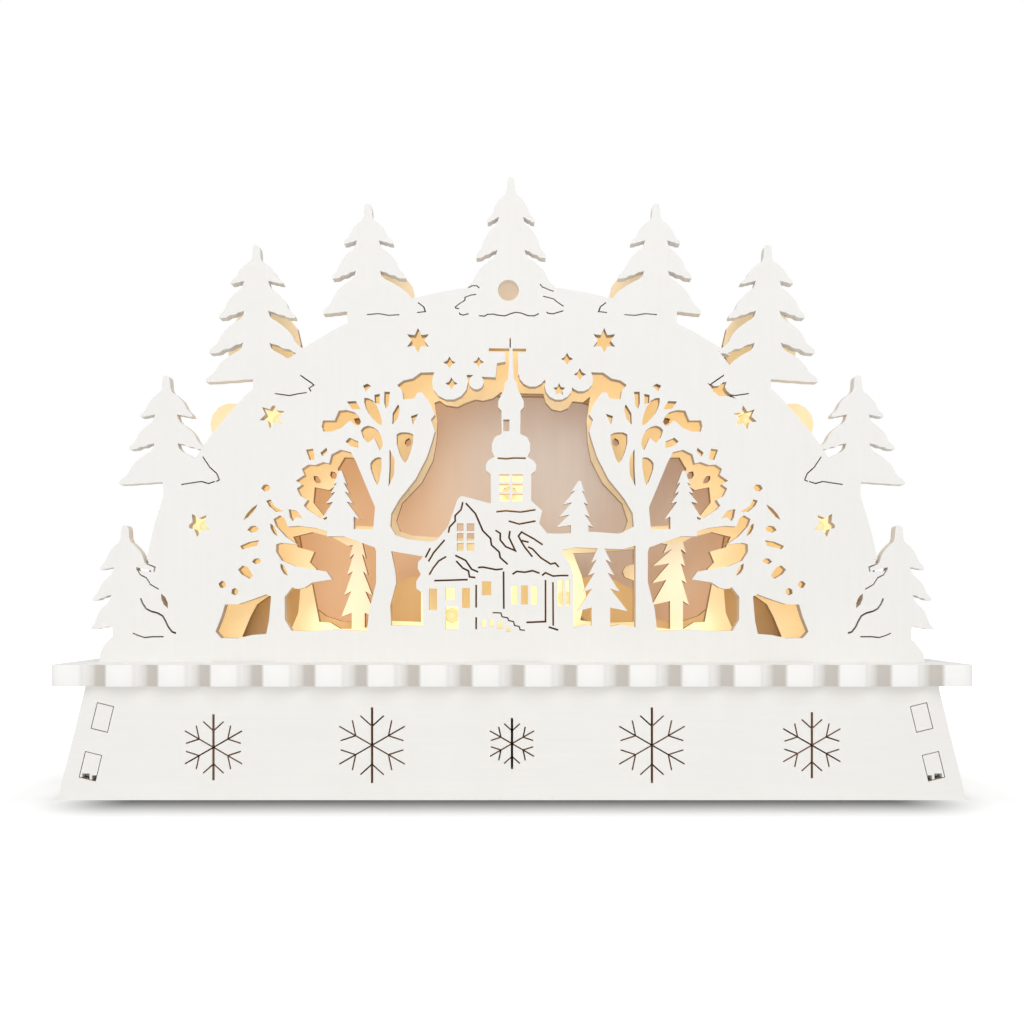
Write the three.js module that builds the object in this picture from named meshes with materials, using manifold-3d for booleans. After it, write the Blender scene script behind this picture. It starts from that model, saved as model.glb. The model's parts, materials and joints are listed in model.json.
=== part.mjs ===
// LED light arch: a laser cut plywood candle holder, built from plates that stand in a base box.
// Millimetres, +Z up. The front faces -Y and the origin is the centre of the footprint.

import * as THREE from 'three';
import { mergeVertices } from 'three/addons/utils/BufferGeometryUtils.js';
import Module from 'manifold-3d';

const wasm = await Module();
wasm.setup();

// Clearances between pieces
const FIT = 0.3;
const CUT_OVERRUN = 1;

// Top board
const BOARD_LENGTH = 344;
const BOARD_DEPTH = 76;
const BOARD_THICKNESS = 8;
const BOARD_CORNER_RADIUS = 5;
const BOARD_CORNER_STEPS = 4;
const SCALLOP_PITCH = 19.4;
const SCALLOP_WIDTH = 11;
const SCALLOP_DEPTH = 2.8;
const SCALLOP_STEPS = 5;

// Base box, which the board overhangs all round
const BASE_HEIGHT = 43;
const BOARD_END_OVERHANG = 12;
const BOARD_FRONT_OVERHANG = 6;
const BASE_FOOT_SPREAD = 10.5;
const BASE_TOP_LENGTH = BOARD_LENGTH - 2 * BOARD_END_OVERHANG;
const BASE_FOOT_LENGTH = BASE_TOP_LENGTH + 2 * BASE_FOOT_SPREAD;
const BASE_DEPTH = BOARD_DEPTH - 2 * BOARD_FRONT_OVERHANG;
const PANEL_THICKNESS = 6;
const END_INSET = 6;
const END_FOOT_CLEARANCE = 1;
const END_TAB_HEIGHT = 9.6;
const END_TAB_LEVELS = [12.7, 31];

// Snowflakes cut through the base front: place, height and arm length
const SNOWFLAKES = [
  { x: -112, z: 19.8, arm: 12.4 },
  { x: -52.5, z: 20.6, arm: 14.2 },
  { x: 0, z: 21.2, arm: 9.6 },
  { x: 52.5, z: 20.6, arm: 14.2 },
  { x: 112.5, z: 20.6, arm: 12.4 },
];
const SNOWFLAKE_ARMS = 6;
const SNOWFLAKE_UPRIGHT_STROKE = 0.9;
const SNOWFLAKE_STROKE = 0.55;
const SNOWFLAKE_FORK = 0.5;
const SNOWFLAKE_FORK_REACH = 0.31;
const SNOWFLAKE_FORK_END = 0.78;

// Standing plates, front to back
const FRONT_PLATE_FACE = -15;
const FRONT_PLATE_THICKNESS = 5;
const FRONT_GAP = 9;
const MIDDLE_PLATE_THICKNESS = 4;
const MIDDLE_GAP = 5;
const SCENE_PLATE_THICKNESS = 4;
const REAR_GAP = 5;
const BACK_PANEL_THICKNESS = 3;
const PLATE_TAB_PLACES = [-105, 0, 105];
const PLATE_TAB_WIDTH = 24;

// Arch outlines
const ARCH_RADIUS = 147;
const ARCH_STEPS = 44;
const REAR_ARCH_STEPS = 32;
const BACK_ARCH_RADIUS = 146;
const FOOT_HALF_LENGTH = 161;
const GROUND_LEVEL = 12;

// Spacer dowels
const DOWEL_DIAMETER = 6;
const DOWEL_PLACES = [[-139, 23], [-66, 124.5], [66, 124.5], [139, 23]];

// LEDs and their leads
const LED_DIAMETER = 5;
const LED_SIDES = 8;
const LED_FLANGE_DIAMETER = 6.6;
const LED_FLANGE_THICKNESS = 1;
const LED_PROJECTION = 4.6;
const LEAD_DIAMETER = 1.6;
const LEAD_SIDES = 6;
const LEAD_STEPS = 36;
const LEAD_ARC_RADIUS = 134;
const LEAD_HOLE_DIAMETER = 5;
const LEAD_BEND = 5;
const LEAD_SPACING = 4;
const LEAD_DROP = 5;
const ARCH_LEAD_RISE_X = 134;
const SCENE_LEAD_RISE_X = 123;
const SCENE_LEAD_ROUTE = [[104, 8], [70, 8], [44, 9], [30, 15], [21, 25], [9, 45], [3, 62],
  [-1, 68], [-5, 62], [-11, 44], [-18, 28], [-24, 18], [-36, 10], [-52, 8], [-72, 8]];
const ARCH_LED_ANGLES = [23.6, 45.8, 90, 134.2, 156.4];
const SCENE_LED_PLACES = [[70, 8], [21, 25], [-1, 67], [-24, 18], [-70, 8]];

// Battery box
const CELL_DIAMETER = 14.2;
const CELL_LENGTH = 49.2;
const CELL_NUB_DIAMETER = 5.4;
const CELL_NUB_LENGTH = 1.2;
const CELL_PITCH = 15.4;
const CELL_PLAY = 0.5;
const CONTACT_THICKNESS = 0.6;
const CONTACT_SEAT = 0.2;
const CONTACT_SPRING_LENGTH = 3;
const CONTACT_SPRING_DIAMETER = 9;
const CELL_EDGE = 0.7;
const BOX_WALL = 1.8;
const BOX_CENTRE_X = 60;
const BOX_CENTRE_Y = 4;
const SWITCH_BAY_LENGTH = 14;
const COVER_THICKNESS = 1.8;
const COVER_LIP = 1.4;
const COVER_LEDGE = 1.6;
const COVER_RIBS = 4;
const COVER_RIB_PITCH = 3;
const COVER_RIB_HEIGHT = 0.8;
const SWITCH_TRAVEL = 4;
const SWITCH_LENGTH = 11;
const SWITCH_WIDTH = 6;
const SWITCH_HEIGHT = 5;
const SWITCH_RECESS = 0.6;
const KNOB_LENGTH = 3.4;
const KNOB_WIDTH = 3;
const KNOB_PROJECTION = 2.4;
const SCREW_DIAMETER = 2.6;
const SCREW_HEAD_DIAMETER = 5;
const SCREW_HEAD_HEIGHT = 1.6;
const SCREW_BITE = 6;
const EAR_LENGTH = 8;
const EAR_WIDTH = 9;
const EAR_THICKNESS = 2;

// Materials
const finish = (color, roughness, metalness = 0) =>
  new THREE.MeshStandardMaterial({ color, roughness, metalness });
const whitePaint = finish(0xf0eee9, 0.7);
const warmWhitePly = finish(0xfbdcae, 0.7);
const tanPly = finish(0xe3aa6c, 0.75);
const backPly = finish(0xc9a58e, 0.8);
const bareWood = finish(0xd9b98c, 0.75);
const blackPlastic = finish(0x1c1c1e, 0.5);
const warmLed = finish(0xffe9b0, 0.2);
const leadSleeve = finish(0xf2efe6, 0.5);
const cellSleeve = finish(0x3f5f4a, 0.4);
const contactMetal = finish(0xc9ccd0, 0.3, 1);

// Solids
const root = new THREE.Group();
root.name = 'led_light_arch';

function solid(geometry) {
  const bare = geometry.clone();
  bare.deleteAttribute('normal');
  bare.deleteAttribute('uv');
  const merged = mergeVertices(bare, 1e-4);
  const position = merged.attributes.position.array;
  const index = merged.index.array;
  const kept = [];
  for (let i = 0; i < index.length; i += 3) {
    const [a, b, c] = [index[i], index[i + 1], index[i + 2]];
    if (a !== b && b !== c && c !== a) {
      kept.push(a, b, c);
    }
  }
  return new wasm.Manifold(new wasm.Mesh({
    numProp: 3,
    vertProperties: new Float32Array(position),
    triVerts: new Uint32Array(kept),
  }));
}

const joined = (solids) => wasm.Manifold.union(solids);
const cut = (body, tools) => body.subtract(joined(tools));

function addPiece(name, body, material, parent = root) {
  const { vertProperties, triVerts } = body.getMesh();
  const geometry = new THREE.BufferGeometry();
  geometry.setAttribute('position', new THREE.BufferAttribute(new Float32Array(vertProperties), 3));
  geometry.setIndex(new THREE.BufferAttribute(new Uint32Array(triVerts), 1));
  geometry.computeVertexNormals();
  const mesh = new THREE.Mesh(geometry, material);
  mesh.name = name;
  parent.add(mesh);
  return mesh;
}

function block(minimum, maximum) {
  const size = maximum.map((value, axis) => value - minimum[axis]);
  const geometry = new THREE.BoxGeometry(...size);
  geometry.translate(...minimum.map((value, axis) => value + size[axis] / 2));
  return solid(geometry);
}

// Flat outlines: arrays of [across, up]
const mirrored = (points) => points.map(([x, y]) => [-x, y]).reverse();

function extruded(points, depth, from = 0) {
  const shape = new THREE.Shape(points.map(([x, y]) => new THREE.Vector2(x, y)));
  const geometry = new THREE.ExtrudeGeometry(shape, { depth, bevelEnabled: false });
  geometry.translate(0, 0, from);
  return solid(geometry);
}

const through = (points, thickness) => extruded(points, thickness + 2 * CUT_OVERRUN, -CUT_OVERRUN);

const rectangle = (x0, y0, x1, y1) => [[x0, y0], [x1, y0], [x1, y1], [x0, y1]];

function circle(x, y, radius, steps = 10) {
  const points = [];
  for (let i = 0; i < steps; i += 1) {
    const angle = (2 * Math.PI * i) / steps;
    points.push([x + radius * Math.cos(angle), y + radius * Math.sin(angle)]);
  }
  return points;
}

function rounded(points, perSpan = 2) {
  const corners = points.map(([x, y]) => new THREE.Vector3(x, y, 0));
  const curve = new THREE.CatmullRomCurve3(corners, true, 'centripetal');
  return curve.getPoints(points.length * perSpan).slice(0, -1).map(({ x, y }) => [x, y]);
}

// A leaf shaped void: pointed at both ends, turned by its tilt in degrees
function leaf([x, y, length, width, tilt]) {
  const turn = THREE.MathUtils.degToRad(tilt);
  const outline = [[-0.5, 0], [-0.2, -0.46], [0.2, -0.46], [0.5, 0], [0.2, 0.46], [-0.2, 0.46]];
  return outline.map(([a, b]) => {
    const along = a * length;
    const across = b * width;
    return [
      x + along * Math.cos(turn) - across * Math.sin(turn),
      y + along * Math.sin(turn) + across * Math.cos(turn),
    ];
  });
}

function star({ x, y, radius, tips, turn = 90, waist = 0.5 }) {
  const points = [];
  for (let i = 0; i < 2 * tips; i += 1) {
    const angle = THREE.MathUtils.degToRad(turn + (180 * i) / tips);
    const reach = i % 2 === 0 ? radius : radius * waist;
    points.push([x + reach * Math.cos(angle), y + reach * Math.sin(angle)]);
  }
  return points;
}

// Fir trees: tiers of drooping branches with toothed undersides
const FIR_TIP_HALF_WIDTH = 1.5;
const FIR_TIP_LENGTH = 6;
const FIR_NOTCH_HALF_WIDTH = 4.2;

function firSide(fir, side) {
  const tipHalfWidth = fir.tipHalfWidth ?? FIR_TIP_HALF_WIDTH;
  const tipLength = fir.tipLength ?? FIR_TIP_LENGTH;
  const points = [
    [0.55 * tipHalfWidth, fir.tip],
    [tipHalfWidth, fir.tip - 0.9 * tipHalfWidth],
    [1.15 * tipHalfWidth, fir.tip - tipLength],
  ];
  fir.tiers.forEach(({ reach, left = reach, level, rise = 4, notch = FIR_NOTCH_HALF_WIDTH }, tier) => {
    const [lastReach, lastHeight] = points[points.length - 1];
    const drop = lastHeight - level;
    const wide = side > 0 ? reach : left;
    const spread = wide - lastReach;
    points.push([lastReach + 0.52 * spread, level + 0.57 * drop]);
    points.push([lastReach + 0.9 * spread, level + 0.25 * drop]);
    points.push([wide, level + 0.06 * drop + 0.08 * wide]);
    points.push([0.97 * wide, level]);
    if (rise > 2) {
      points.push([0.78 * wide, level + 0.48 * rise]);
      points.push([0.68 * wide, level + 0.14 * rise]);
    }
    const inner = tier === fir.tiers.length - 1 ? fir.trunk : notch;
    points.push([inner, level + rise]);
  });
  points.push([fir.trunk, fir.foot]);
  return points.map(([across, height]) => [fir.x + side * across, height]);
}

const firOutline = (fir) => [...firSide(fir, -1), ...firSide(fir, 1).reverse()];

// A young fir in the scene: each tier is [reach to the left, reach to the right, level of its tips]
function sceneFir({ x, tip, foot, tiers, trunk }) {
  const half = (side) => {
    const points = [[0.5, tip]];
    tiers.forEach((tier, index) => {
      const reach = side < 0 ? tier[0] : tier[1];
      const level = tier[2];
      const [inner, above] = points[points.length - 1];
      const drop = above - level;
      const notch = index < tiers.length - 1 ? Math.min(0.5 * reach, inner + 1.2) : trunk;
      points.push([inner + 0.5 * (reach - inner), level + 0.5 * drop]);
      points.push([reach, level], [notch, level + 0.16 * drop]);
    });
    points.push([trunk, foot - CUT_OVERRUN]);
    return points.map(([across, height]) => [x + side * across, height]);
  };
  return [...half(-1), ...half(1).reverse()];
}

// Young firs of the front plate, then the two of the lit plate
const MEADOW_FIR = {
  x: -67, tip: 74.6, foot: 50, trunk: 5.2,
  tiers: [[2.6, 2.5, 69.2], [3.8, 3.5, 65.7], [5.6, 5, 61.8], [7.3, 7.6, 55.6]],
};
const GARDEN_FIR = {
  x: 26.4, tip: 70.6, foot: 49, trunk: 3.4,
  tiers: [[3.4, 1.8, 66.2], [6.4, 3.2, 61.4], [7.9, 3.9, 56.6], [9, 5.2, 52.6]],
};
const YARD_FIR = {
  x: 34.7, tip: 46, foot: 13, trunk: 3.6,
  tiers: [[3.7, 4, 38.8], [4.9, 5.2, 33.8], [6.9, 7.2, 27.4], [9.2, 10.4, 19.8]],
};
const LIT_FIRS = [
  { x: -61.9, tip: 52, foot: 13, trunk: 2.6,
    tiers: [[3.6, 3, 41], [4.4, 3.8, 34.4], [5.6, 5.6, 26.2], [6.8, 7.2, 17.4]] },
  { x: 66.2, tip: 54, foot: 13, trunk: 2.6,
    tiers: [[5.2, 3.9, 43], [9.6, 3.4, 37.8], [9.8, 4, 31], [9.8, 5, 22.2]] },
];

const RIM_FIRS = [
  {
    x: -151, tip: 53.2, foot: 6, trunk: 5,
    tiers: [
      { reach: 9.7, level: 36, rise: 1 },
      { reach: 12.6, level: 24, rise: 2.4, notch: 5.2 },
      { reach: 13.4, level: 12.6, rise: 1.4 },
    ],
  },
  {
    x: -135, tip: 111.7, foot: 62, trunk: 1,
    tiers: [
      { reach: 10.4, left: 10, level: 95.6, rise: 1.2 },
      { reach: 15, left: 14.4, level: 82.6 },
      { reach: 20.6, left: 18.4, level: 69.2, rise: 1 },
    ],
  },
  {
    x: -99.8, tip: 162.6, foot: 96, trunk: 0.6,
    tiers: [
      { reach: 10.4, left: 10, level: 147.6, rise: 1.4 },
      { reach: 15.2, left: 14.6, level: 134.4 },
      { reach: 19, left: 18.4, level: 120.4, rise: 4.4, notch: 5.4 },
      { reach: 20.4, left: 19.8, level: 109.2, rise: 1.2 },
    ],
  },
  {
    x: -56.2, tip: 178.8, foot: 124, trunk: 8,
    tiers: [
      { reach: 9.8, left: 9.4, level: 163.2, rise: 1.6 },
      { reach: 14.8, left: 14, level: 149.6, rise: 4.2, notch: 4.6 },
      { reach: 22.6, left: 17.6, level: 135.8, rise: 1 },
    ],
  },
];
const CENTRE_FIR = {
  x: -0.4, tip: 189, foot: 130, trunk: 14,
  tiers: [
    { reach: 9.2, level: 171.6, rise: 3, notch: 4.6 },
    { reach: 13.6, level: 157.6, rise: 4.6, notch: 5.2 },
    { reach: 17.8, level: 144.6, rise: 1 },
  ],
};

// Solid wood between the lower firs and the ring
const rimRoots = [
  [[-134, 71], [-138.4, 57], [-140.4, 50], [-142.6, 40], [-126, 40], [-126, 71]],
  [[-150, 5], [-150, 36], [-142, 35], [-136, 5]],
  [[-101, 100], [-88, 100], [-88, 112], [-101, 111]],
];

function archOutline(radiusAt, steps = ARCH_STEPS) {
  const points = [];
  for (let i = 0; i <= steps; i += 1) {
    const angle = (Math.PI * i) / steps;
    const radius = radiusAt(THREE.MathUtils.radToDeg(angle));
    points.push([radius * Math.cos(angle), radius * Math.sin(angle)]);
  }
  return points;
}

// Lobes of the middle plate, which show between the firs on the rim: [across, up, radius]
const middleLobes = [[-113, 95, 8.4], [-100, 127, 15], [-52, 145, 13]];

const footOutline = [
  [-FOOT_HALF_LENGTH, 0], [FOOT_HALF_LENGTH, 0], [FOOT_HALF_LENGTH - 0.4, 3.4],
  [FOOT_HALF_LENGTH - 4, 8], [FOOT_HALF_LENGTH - 10, GROUND_LEVEL],
  [10 - FOOT_HALF_LENGTH, GROUND_LEVEL], [5 - FOOT_HALF_LENGTH, 9.8],
  [2 - FOOT_HALF_LENGTH, 7], [0.2 - FOOT_HALF_LENGTH, 3.4],
];

// Scene openings of the front plate, left half and centre
const skyLeft = [
  [-33, 46.9], [-41, 47.9], [-45.4, 49.4], [-47.5, 52.8], [-47.1, 58], [-44, 63.4], [-37.6, 71.4],
  [-33.2, 80], [-31.2, 86.1], [-30.1, 90], [-31.6, 94.6], [-30.1, 96.5], [-31.6, 100], [-33.4, 102.8],
  [-35.2, 105.2], [-37, 105], [-38, 102.8], [-42.3, 102.4], [-42.9, 106], [-44.8, 108], [-42.4, 109.8],
  [-38.8, 110.6], [-35.6, 112.9], [-31, 113],
];
const skyTop = [
  [-24, 112], [-16, 112], [-12, 111.3], [-6.4, 111], [-5.8, 116.6], [-2.6, 117.1], [-2.6, 120.8],
  [-9, 121], [-9, 122.4], [5.6, 122.2], [5.4, 121], [2.2, 120.6], [2.4, 112], [8, 113], [14, 109],
  [24, 110],
];
const skyFloor = [[42, 50], [31, 50.8], [19, 50], [12, 50.2]];
const skyOutline = [
  ...skyLeft, ...skyTop, ...mirrored(skyLeft).slice(0, -3), ...skyFloor,
].reverse();

// Cloud lobes as [across, up, radius]
const cloudPuffs = [
  [-24.2, 109.3, 7.1], [-13.9, 109.2, 2.9], [8, 112.8, 5.5], [18.2, 107.7, 5.5], [27, 110.2, 4.7],
];

const meadowOpening = [
  [-54.2, 51.8], [-53.4, 60.3], [-56.6, 67.9], [-60.8, 78], [-62.8, 81.8], [-66.8, 82.8], [-70.4, 81],
  [-71.4, 77.4], [-73.6, 78], [-76.8, 76.8], [-79.5, 77], [-82, 75.3], [-81, 73], [-84.3, 70.7],
  [-81.9, 69.2], [-84, 67.6], [-82.6, 64.8], [-79.8, 63.2], [-81.3, 61], [-79.8, 59.4], [-75.2, 56.4],
  [-67.8, 53.2], [-61.5, 51.8],
];
const thicketOpening = [
  [-93.1, 55.7], [-92.1, 52.9], [-88.3, 48.8], [-83.8, 45.8], [-89.9, 46.5], [-92, 45.9], [-92.1, 43],
  [-89.9, 39.5], [-84.5, 37.3], [-77.9, 36.2], [-72.4, 35.2], [-70.2, 32.2], [-77.9, 31], [-80.9, 29],
  [-83.4, 28.4], [-85.8, 29.1], [-88.7, 25.4], [-88.6, 16.5], [-86.1, 12.2], [-79, 12], [-70.2, 12.6],
  [-56.6, 12], [-55.7, 20.3], [-53, 31], [-53, 43], [-53.6, 44.7], [-64.2, 48.5], [-76.3, 52.2],
  [-83.2, 53.1], [-87.5, 52.8], [-88.8, 56.2], [-90.6, 57.2],
];
const cornerOpening = [
  [-113.4, 17.6], [-112, 22.4], [-106.9, 22.5], [-100.3, 24.7], [-95.8, 26.4], [-94, 25.5],
  [-94.8, 16], [-95.9, 10.9], [-101.4, 10.5], [-106.8, 9.2], [-113.5, 9.3], [-115.7, 11.8],
];
const churchSideOpening = [
  [-47.2, 43.2], [-34, 41], [-33, 14], [-47.2, 14.2], [-47.6, 22], [-45.2, 31], [-45.6, 35.5],
];
const yardOpening = [
  [19.5, 43.6], [24.6, 44.7], [36, 44.2], [43.3, 43.9], [48.2, 45.4], [48.2, 13.6], [42, 14.6],
  [36, 13.2], [29, 14.6], [22, 12.8], [22, 36],
];

// Church: tower profile as [half width, height], then the gabled house
const TOWER_X = -0.4;
const towerProfile = [
  [0.5, 124], [1.1, 110], [2.4, 109.2], [2.6, 106], [3.4, 105], [5, 101.6], [5, 99.4], [3.7, 98],
  [3.6, 89], [6.4, 87.6], [7.5, 85], [7.4, 82], [6.4, 80], [8.8, 78.6], [9.9, 77], [9.6, 74.6],
  [7.9, 73.2], [7.8, 56],
];
const towerOutline = [
  ...towerProfile.map(([half, height]) => [TOWER_X - half, height]),
  ...towerProfile.map(([half, height]) => [TOWER_X + half, height]).reverse(),
];
const churchOutline = [
  [-34.6, GROUND_LEVEL - 1], [24, GROUND_LEVEL - 1], [24, 33.4], [22.8, 38], [18.4, 43.6],
  [13.4, 50.6], [10.6, 54], [11.8, 59], [7.4, 63], [-8, 61.8], [-11.4, 62.6], [-19.6, 64.8],
  [-21.2, 63.6], [-25, 52.7], [-29.4, 47.6], [-34, 45.4], [-34.8, 40.8], [-36.6, 39], [-36.8, 36.4],
  [-35.6, 34.1], [-37.4, 31.4], [-37.3, 28.6], [-35, 26.9],
];

// Windows as [left, bottom, right, top]
const PANE_RISE = 3;
const paneRows = (left, right, levels) => levels.map((level) => [left, level, right, level + PANE_RISE]);
const churchWindows = [
  ...paneRows(-21.5, -18.9, [43.4, 47.2, 51]),
  ...paneRows(-17.6, -14.7, [43.4, 47.2, 51]),
  ...paneRows(-4.9, -1, [62.6, 66.4, 70.2]),
  ...paneRows(0, 4.2, [62.6, 66.4, 70.2]),
  [-32.4, 20.2, -29.2, 28.6], [-26, 24.2, -22.4, 28.9], [-26, 12.6, -21, 21.6],
  [-19.5, 21, -16.4, 28.8], [-11.7, 26, -8.1, 31.4], [-0.3, 22.4, 2.3, 29.8],
  [3.5, 22.4, 6.2, 29.8], [7.4, 22.4, 9.9, 29.8], [17.9, 21.8, 19.9, 32],
  [21, 21.8, 22.6, 32], [-3.4, 90, -1, 94.6],
  [-11.9, 13.4, -10.2, 16.4], [-8.8, 13.8, -7.2, 16.7], [-5.5, 12.9, -3.6, 15.8],
  [-2.2, 11.8, -0.6, 13.4],
];

// Gaps between the twigs of the bare tree, left half: broad ones, then small ones
const crownVoids = [
  [[-57.6, 103], [-54.3, 102], [-51.4, 96.6], [-50.9, 92.2], [-54.6, 95.2], [-57, 99]],
  [[-73.8, 94.2], [-69.2, 94.2], [-67.6, 98], [-61.4, 97.4], [-58.9, 93.6], [-60.6, 92],
    [-63.2, 94.2], [-66.6, 91.2], [-73.6, 89.8]],
  [[-59, 90.4], [-56.2, 92.2], [-52.2, 90.2], [-50.4, 85], [-51.6, 82.6], [-53.8, 87.4], [-56.2, 85.4]],
  [[-45, 88.8], [-41.6, 89.6], [-38.5, 88.6], [-39.6, 82], [-41.6, 77.6], [-43.8, 81]],
  [[-55.3, 77.4], [-53.2, 79.6], [-51, 79.6], [-51.4, 72.6], [-52.4, 69], [-54.4, 73]],
];
const twigGaps = [
  [[-58.2, 107.8], [-56.4, 108.6], [-55, 107.6], [-57, 105.6]],
  [[-64.4, 101.6], [-61, 101.8], [-59, 98.6], [-62.2, 98.6]],
  [[-53.7, 104.2], [-51.6, 104.6], [-51.7, 100.6], [-53.5, 101]],
  [[-49.8, 105.4], [-47.6, 105.4], [-48.2, 100], [-49.2, 98.8], [-49.9, 101]],
  [[-44.4, 100.6], [-43.7, 98.6], [-44.8, 94.6], [-46.7, 92.6], [-46.6, 97]],
  [[-65, 86], [-63.4, 87.5], [-60, 86], [-59.8, 83.4], [-63, 84.2]],
  [[-80.4, 82.8], [-77.6, 83.2], [-76.9, 79], [-79, 78.8]],
  [[-74.8, 81.6], [-72.4, 83.6], [-72, 82], [-74, 80.2]],
  [[-47.8, 83], [-45.8, 79], [-46, 73], [-48.2, 68.4], [-47.8, 76]],
  [[-39.4, 95.9], [-36.6, 96.8], [-38.6, 92.6]],
];

// Slits between the branches of the large fir, left half
const curvedSlits = [
  [[-95.9, 62.9], [-94.2, 63.4], [-92.6, 60.6], [-89, 58.6], [-92, 58.5], [-94.8, 60.8]],
  [[-87.2, 59.6], [-83.9, 58.9], [-81.5, 55.9], [-84.2, 56.4], [-85.6, 54.9], [-86.6, 56.4]],
  [[-106.9, 36], [-105.2, 37.6], [-103.1, 37], [-101, 33.6], [-102.4, 32.4], [-105.6, 34.2]],
  [[-106.2, 45.2], [-102.6, 46.8], [-98.7, 47.5], [-99.4, 45.4], [-105.2, 43.9]],
];
const firSlits = [
  [-102, 58.4, 8.3, 1.5, 48], [-93, 51.6, 5.6, 1.7, -62], [-101, 51.8, 4.6, 2.7, 8],
  [-99.6, 39.3, 3.8, 2.2, 8], [-113, 30.2, 3.2, 2.8, -10], [-108.1, 27.4, 3.2, 2.8, 30],
  [-96, 67.9, 3.8, 2.8, 5], [-89, 36, 5.6, 1.8, -60], [-135.6, 23.8, 6.4, 1.9, -66],
];
const starCuts = [
  { x: -36.7, y: 125.4, radius: 4.9, tips: 6, turn: 90 },
  { x: 36, y: 125.4, radius: 4.9, tips: 6, turn: 90 },
  { x: -93.6, y: 96.1, radius: 5.2, tips: 6, turn: 80 },
  { x: 91, y: 95.4, radius: 4.8, tips: 6, turn: 100 },
  { x: -122.4, y: 53.6, radius: 4.9, tips: 5, turn: -95 },
  { x: 122.4, y: 53.6, radius: 4.9, tips: 5, turn: -85 },
  { x: -24.4, y: 116.8, radius: 2.4, tips: 4 }, { x: -13, y: 117, radius: 2.1, tips: 4 },
  { x: -23.6, y: 108.6, radius: 2.4, tips: 4 }, { x: 21.5, y: 118.2, radius: 2.4, tips: 4 },
  { x: 26.5, y: 112.2, radius: 2.4, tips: 4 }, { x: 18.4, y: 106.2, radius: 2.5, tips: 5 },
];
const birdOutline = [
  [76, 109], [79, 107.6], [81, 107.8], [84.6, 111.4], [83, 107.2], [84, 105.6], [87.4, 102.6],
  [84, 103.8], [80.8, 103.6], [78.6, 105.6], [77.6, 107.4],
];
const cometOutline = [[80.4, 121.4], [85, 119.6], [88, 122.6], [90, 117.4], [86, 114.6]].reverse();
const HOLLOW_KNOT = { x: -1.4, y: 145, radius: 4.1 };
const CLOUD_STEPS = 14;

function plateTabs(thickness) {
  return PLATE_TAB_PLACES.map((x) => extruded(
    rectangle(x - PLATE_TAB_WIDTH / 2, FIT - BOARD_THICKNESS, x + PLATE_TAB_WIDTH / 2, CUT_OVERRUN),
    thickness,
  ));
}

const bothSides = (outlines) => [...outlines, ...outlines.map(mirrored)];

// Places of the plates: each is made lying down and stood up on the board
const MIDDLE_PLATE_FACE = FRONT_PLATE_FACE + FRONT_PLATE_THICKNESS + FRONT_GAP;
const SCENE_PLATE_FACE = MIDDLE_PLATE_FACE + MIDDLE_PLATE_THICKNESS + MIDDLE_GAP;
const BACK_PANEL_FACE = SCENE_PLATE_FACE + SCENE_PLATE_THICKNESS + REAR_GAP;
const BOARD_TOP = BASE_HEIGHT + BOARD_THICKNESS;
const plates = [
  { face: FRONT_PLATE_FACE, thickness: FRONT_PLATE_THICKNESS },
  { face: MIDDLE_PLATE_FACE, thickness: MIDDLE_PLATE_THICKNESS },
  { face: SCENE_PLATE_FACE, thickness: SCENE_PLATE_THICKNESS },
  { face: BACK_PANEL_FACE, thickness: BACK_PANEL_THICKNESS },
];

function standUp(name, body, plate, material) {
  const mesh = addPiece(name, body, material);
  mesh.rotation.x = Math.PI / 2;
  mesh.position.set(0, plate.face + plate.thickness, BOARD_TOP);
}

// Front plate
function makeFrontPlate() {
  const thickness = FRONT_PLATE_THICKNESS;
  const solidOf = (points) => extruded(points, thickness);
  const cutter = (points) => through(points, thickness);
  const arch = joined([
    solidOf(archOutline(() => ARCH_RADIUS)),
    solidOf(footOutline),
    ...bothSides([...RIM_FIRS.map(firOutline), ...rimRoots]).map(solidOf),
    solidOf(firOutline(CENTRE_FIR)),
    ...plateTabs(thickness),
  ]);
  const openings = [
    skyOutline, churchSideOpening, yardOpening,
    ...bothSides([meadowOpening, thicketOpening, cornerOpening]),
  ];
  const frame = cut(arch, openings.map(cutter));
  const scene = joined([
    frame,
    ...cloudPuffs.map(([x, y, radius]) => solidOf(circle(x, y, radius, CLOUD_STEPS))),
    solidOf(towerOutline),
    solidOf(churchOutline),
    ...[GARDEN_FIR, YARD_FIR].map((fir) => solidOf(sceneFir(fir))),
    ...bothSides([sceneFir(MEADOW_FIR)]).map(solidOf),
  ]);
  const details = [
    ...bothSides([...crownVoids.map((points) => rounded(points)), ...twigGaps, ...curvedSlits]),
    ...bothSides(firSlits.map(leaf)),
    ...starCuts.map(star), ...churchWindows.map((window) => rectangle(...window)),
    birdOutline, cometOutline, circle(HOLLOW_KNOT.x, HOLLOW_KNOT.y, HOLLOW_KNOT.radius),
  ];
  return cut(scene, details.map(cutter));
}
standUp('front_plate', makeFrontPlate(), plates[0], whitePaint);

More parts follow.
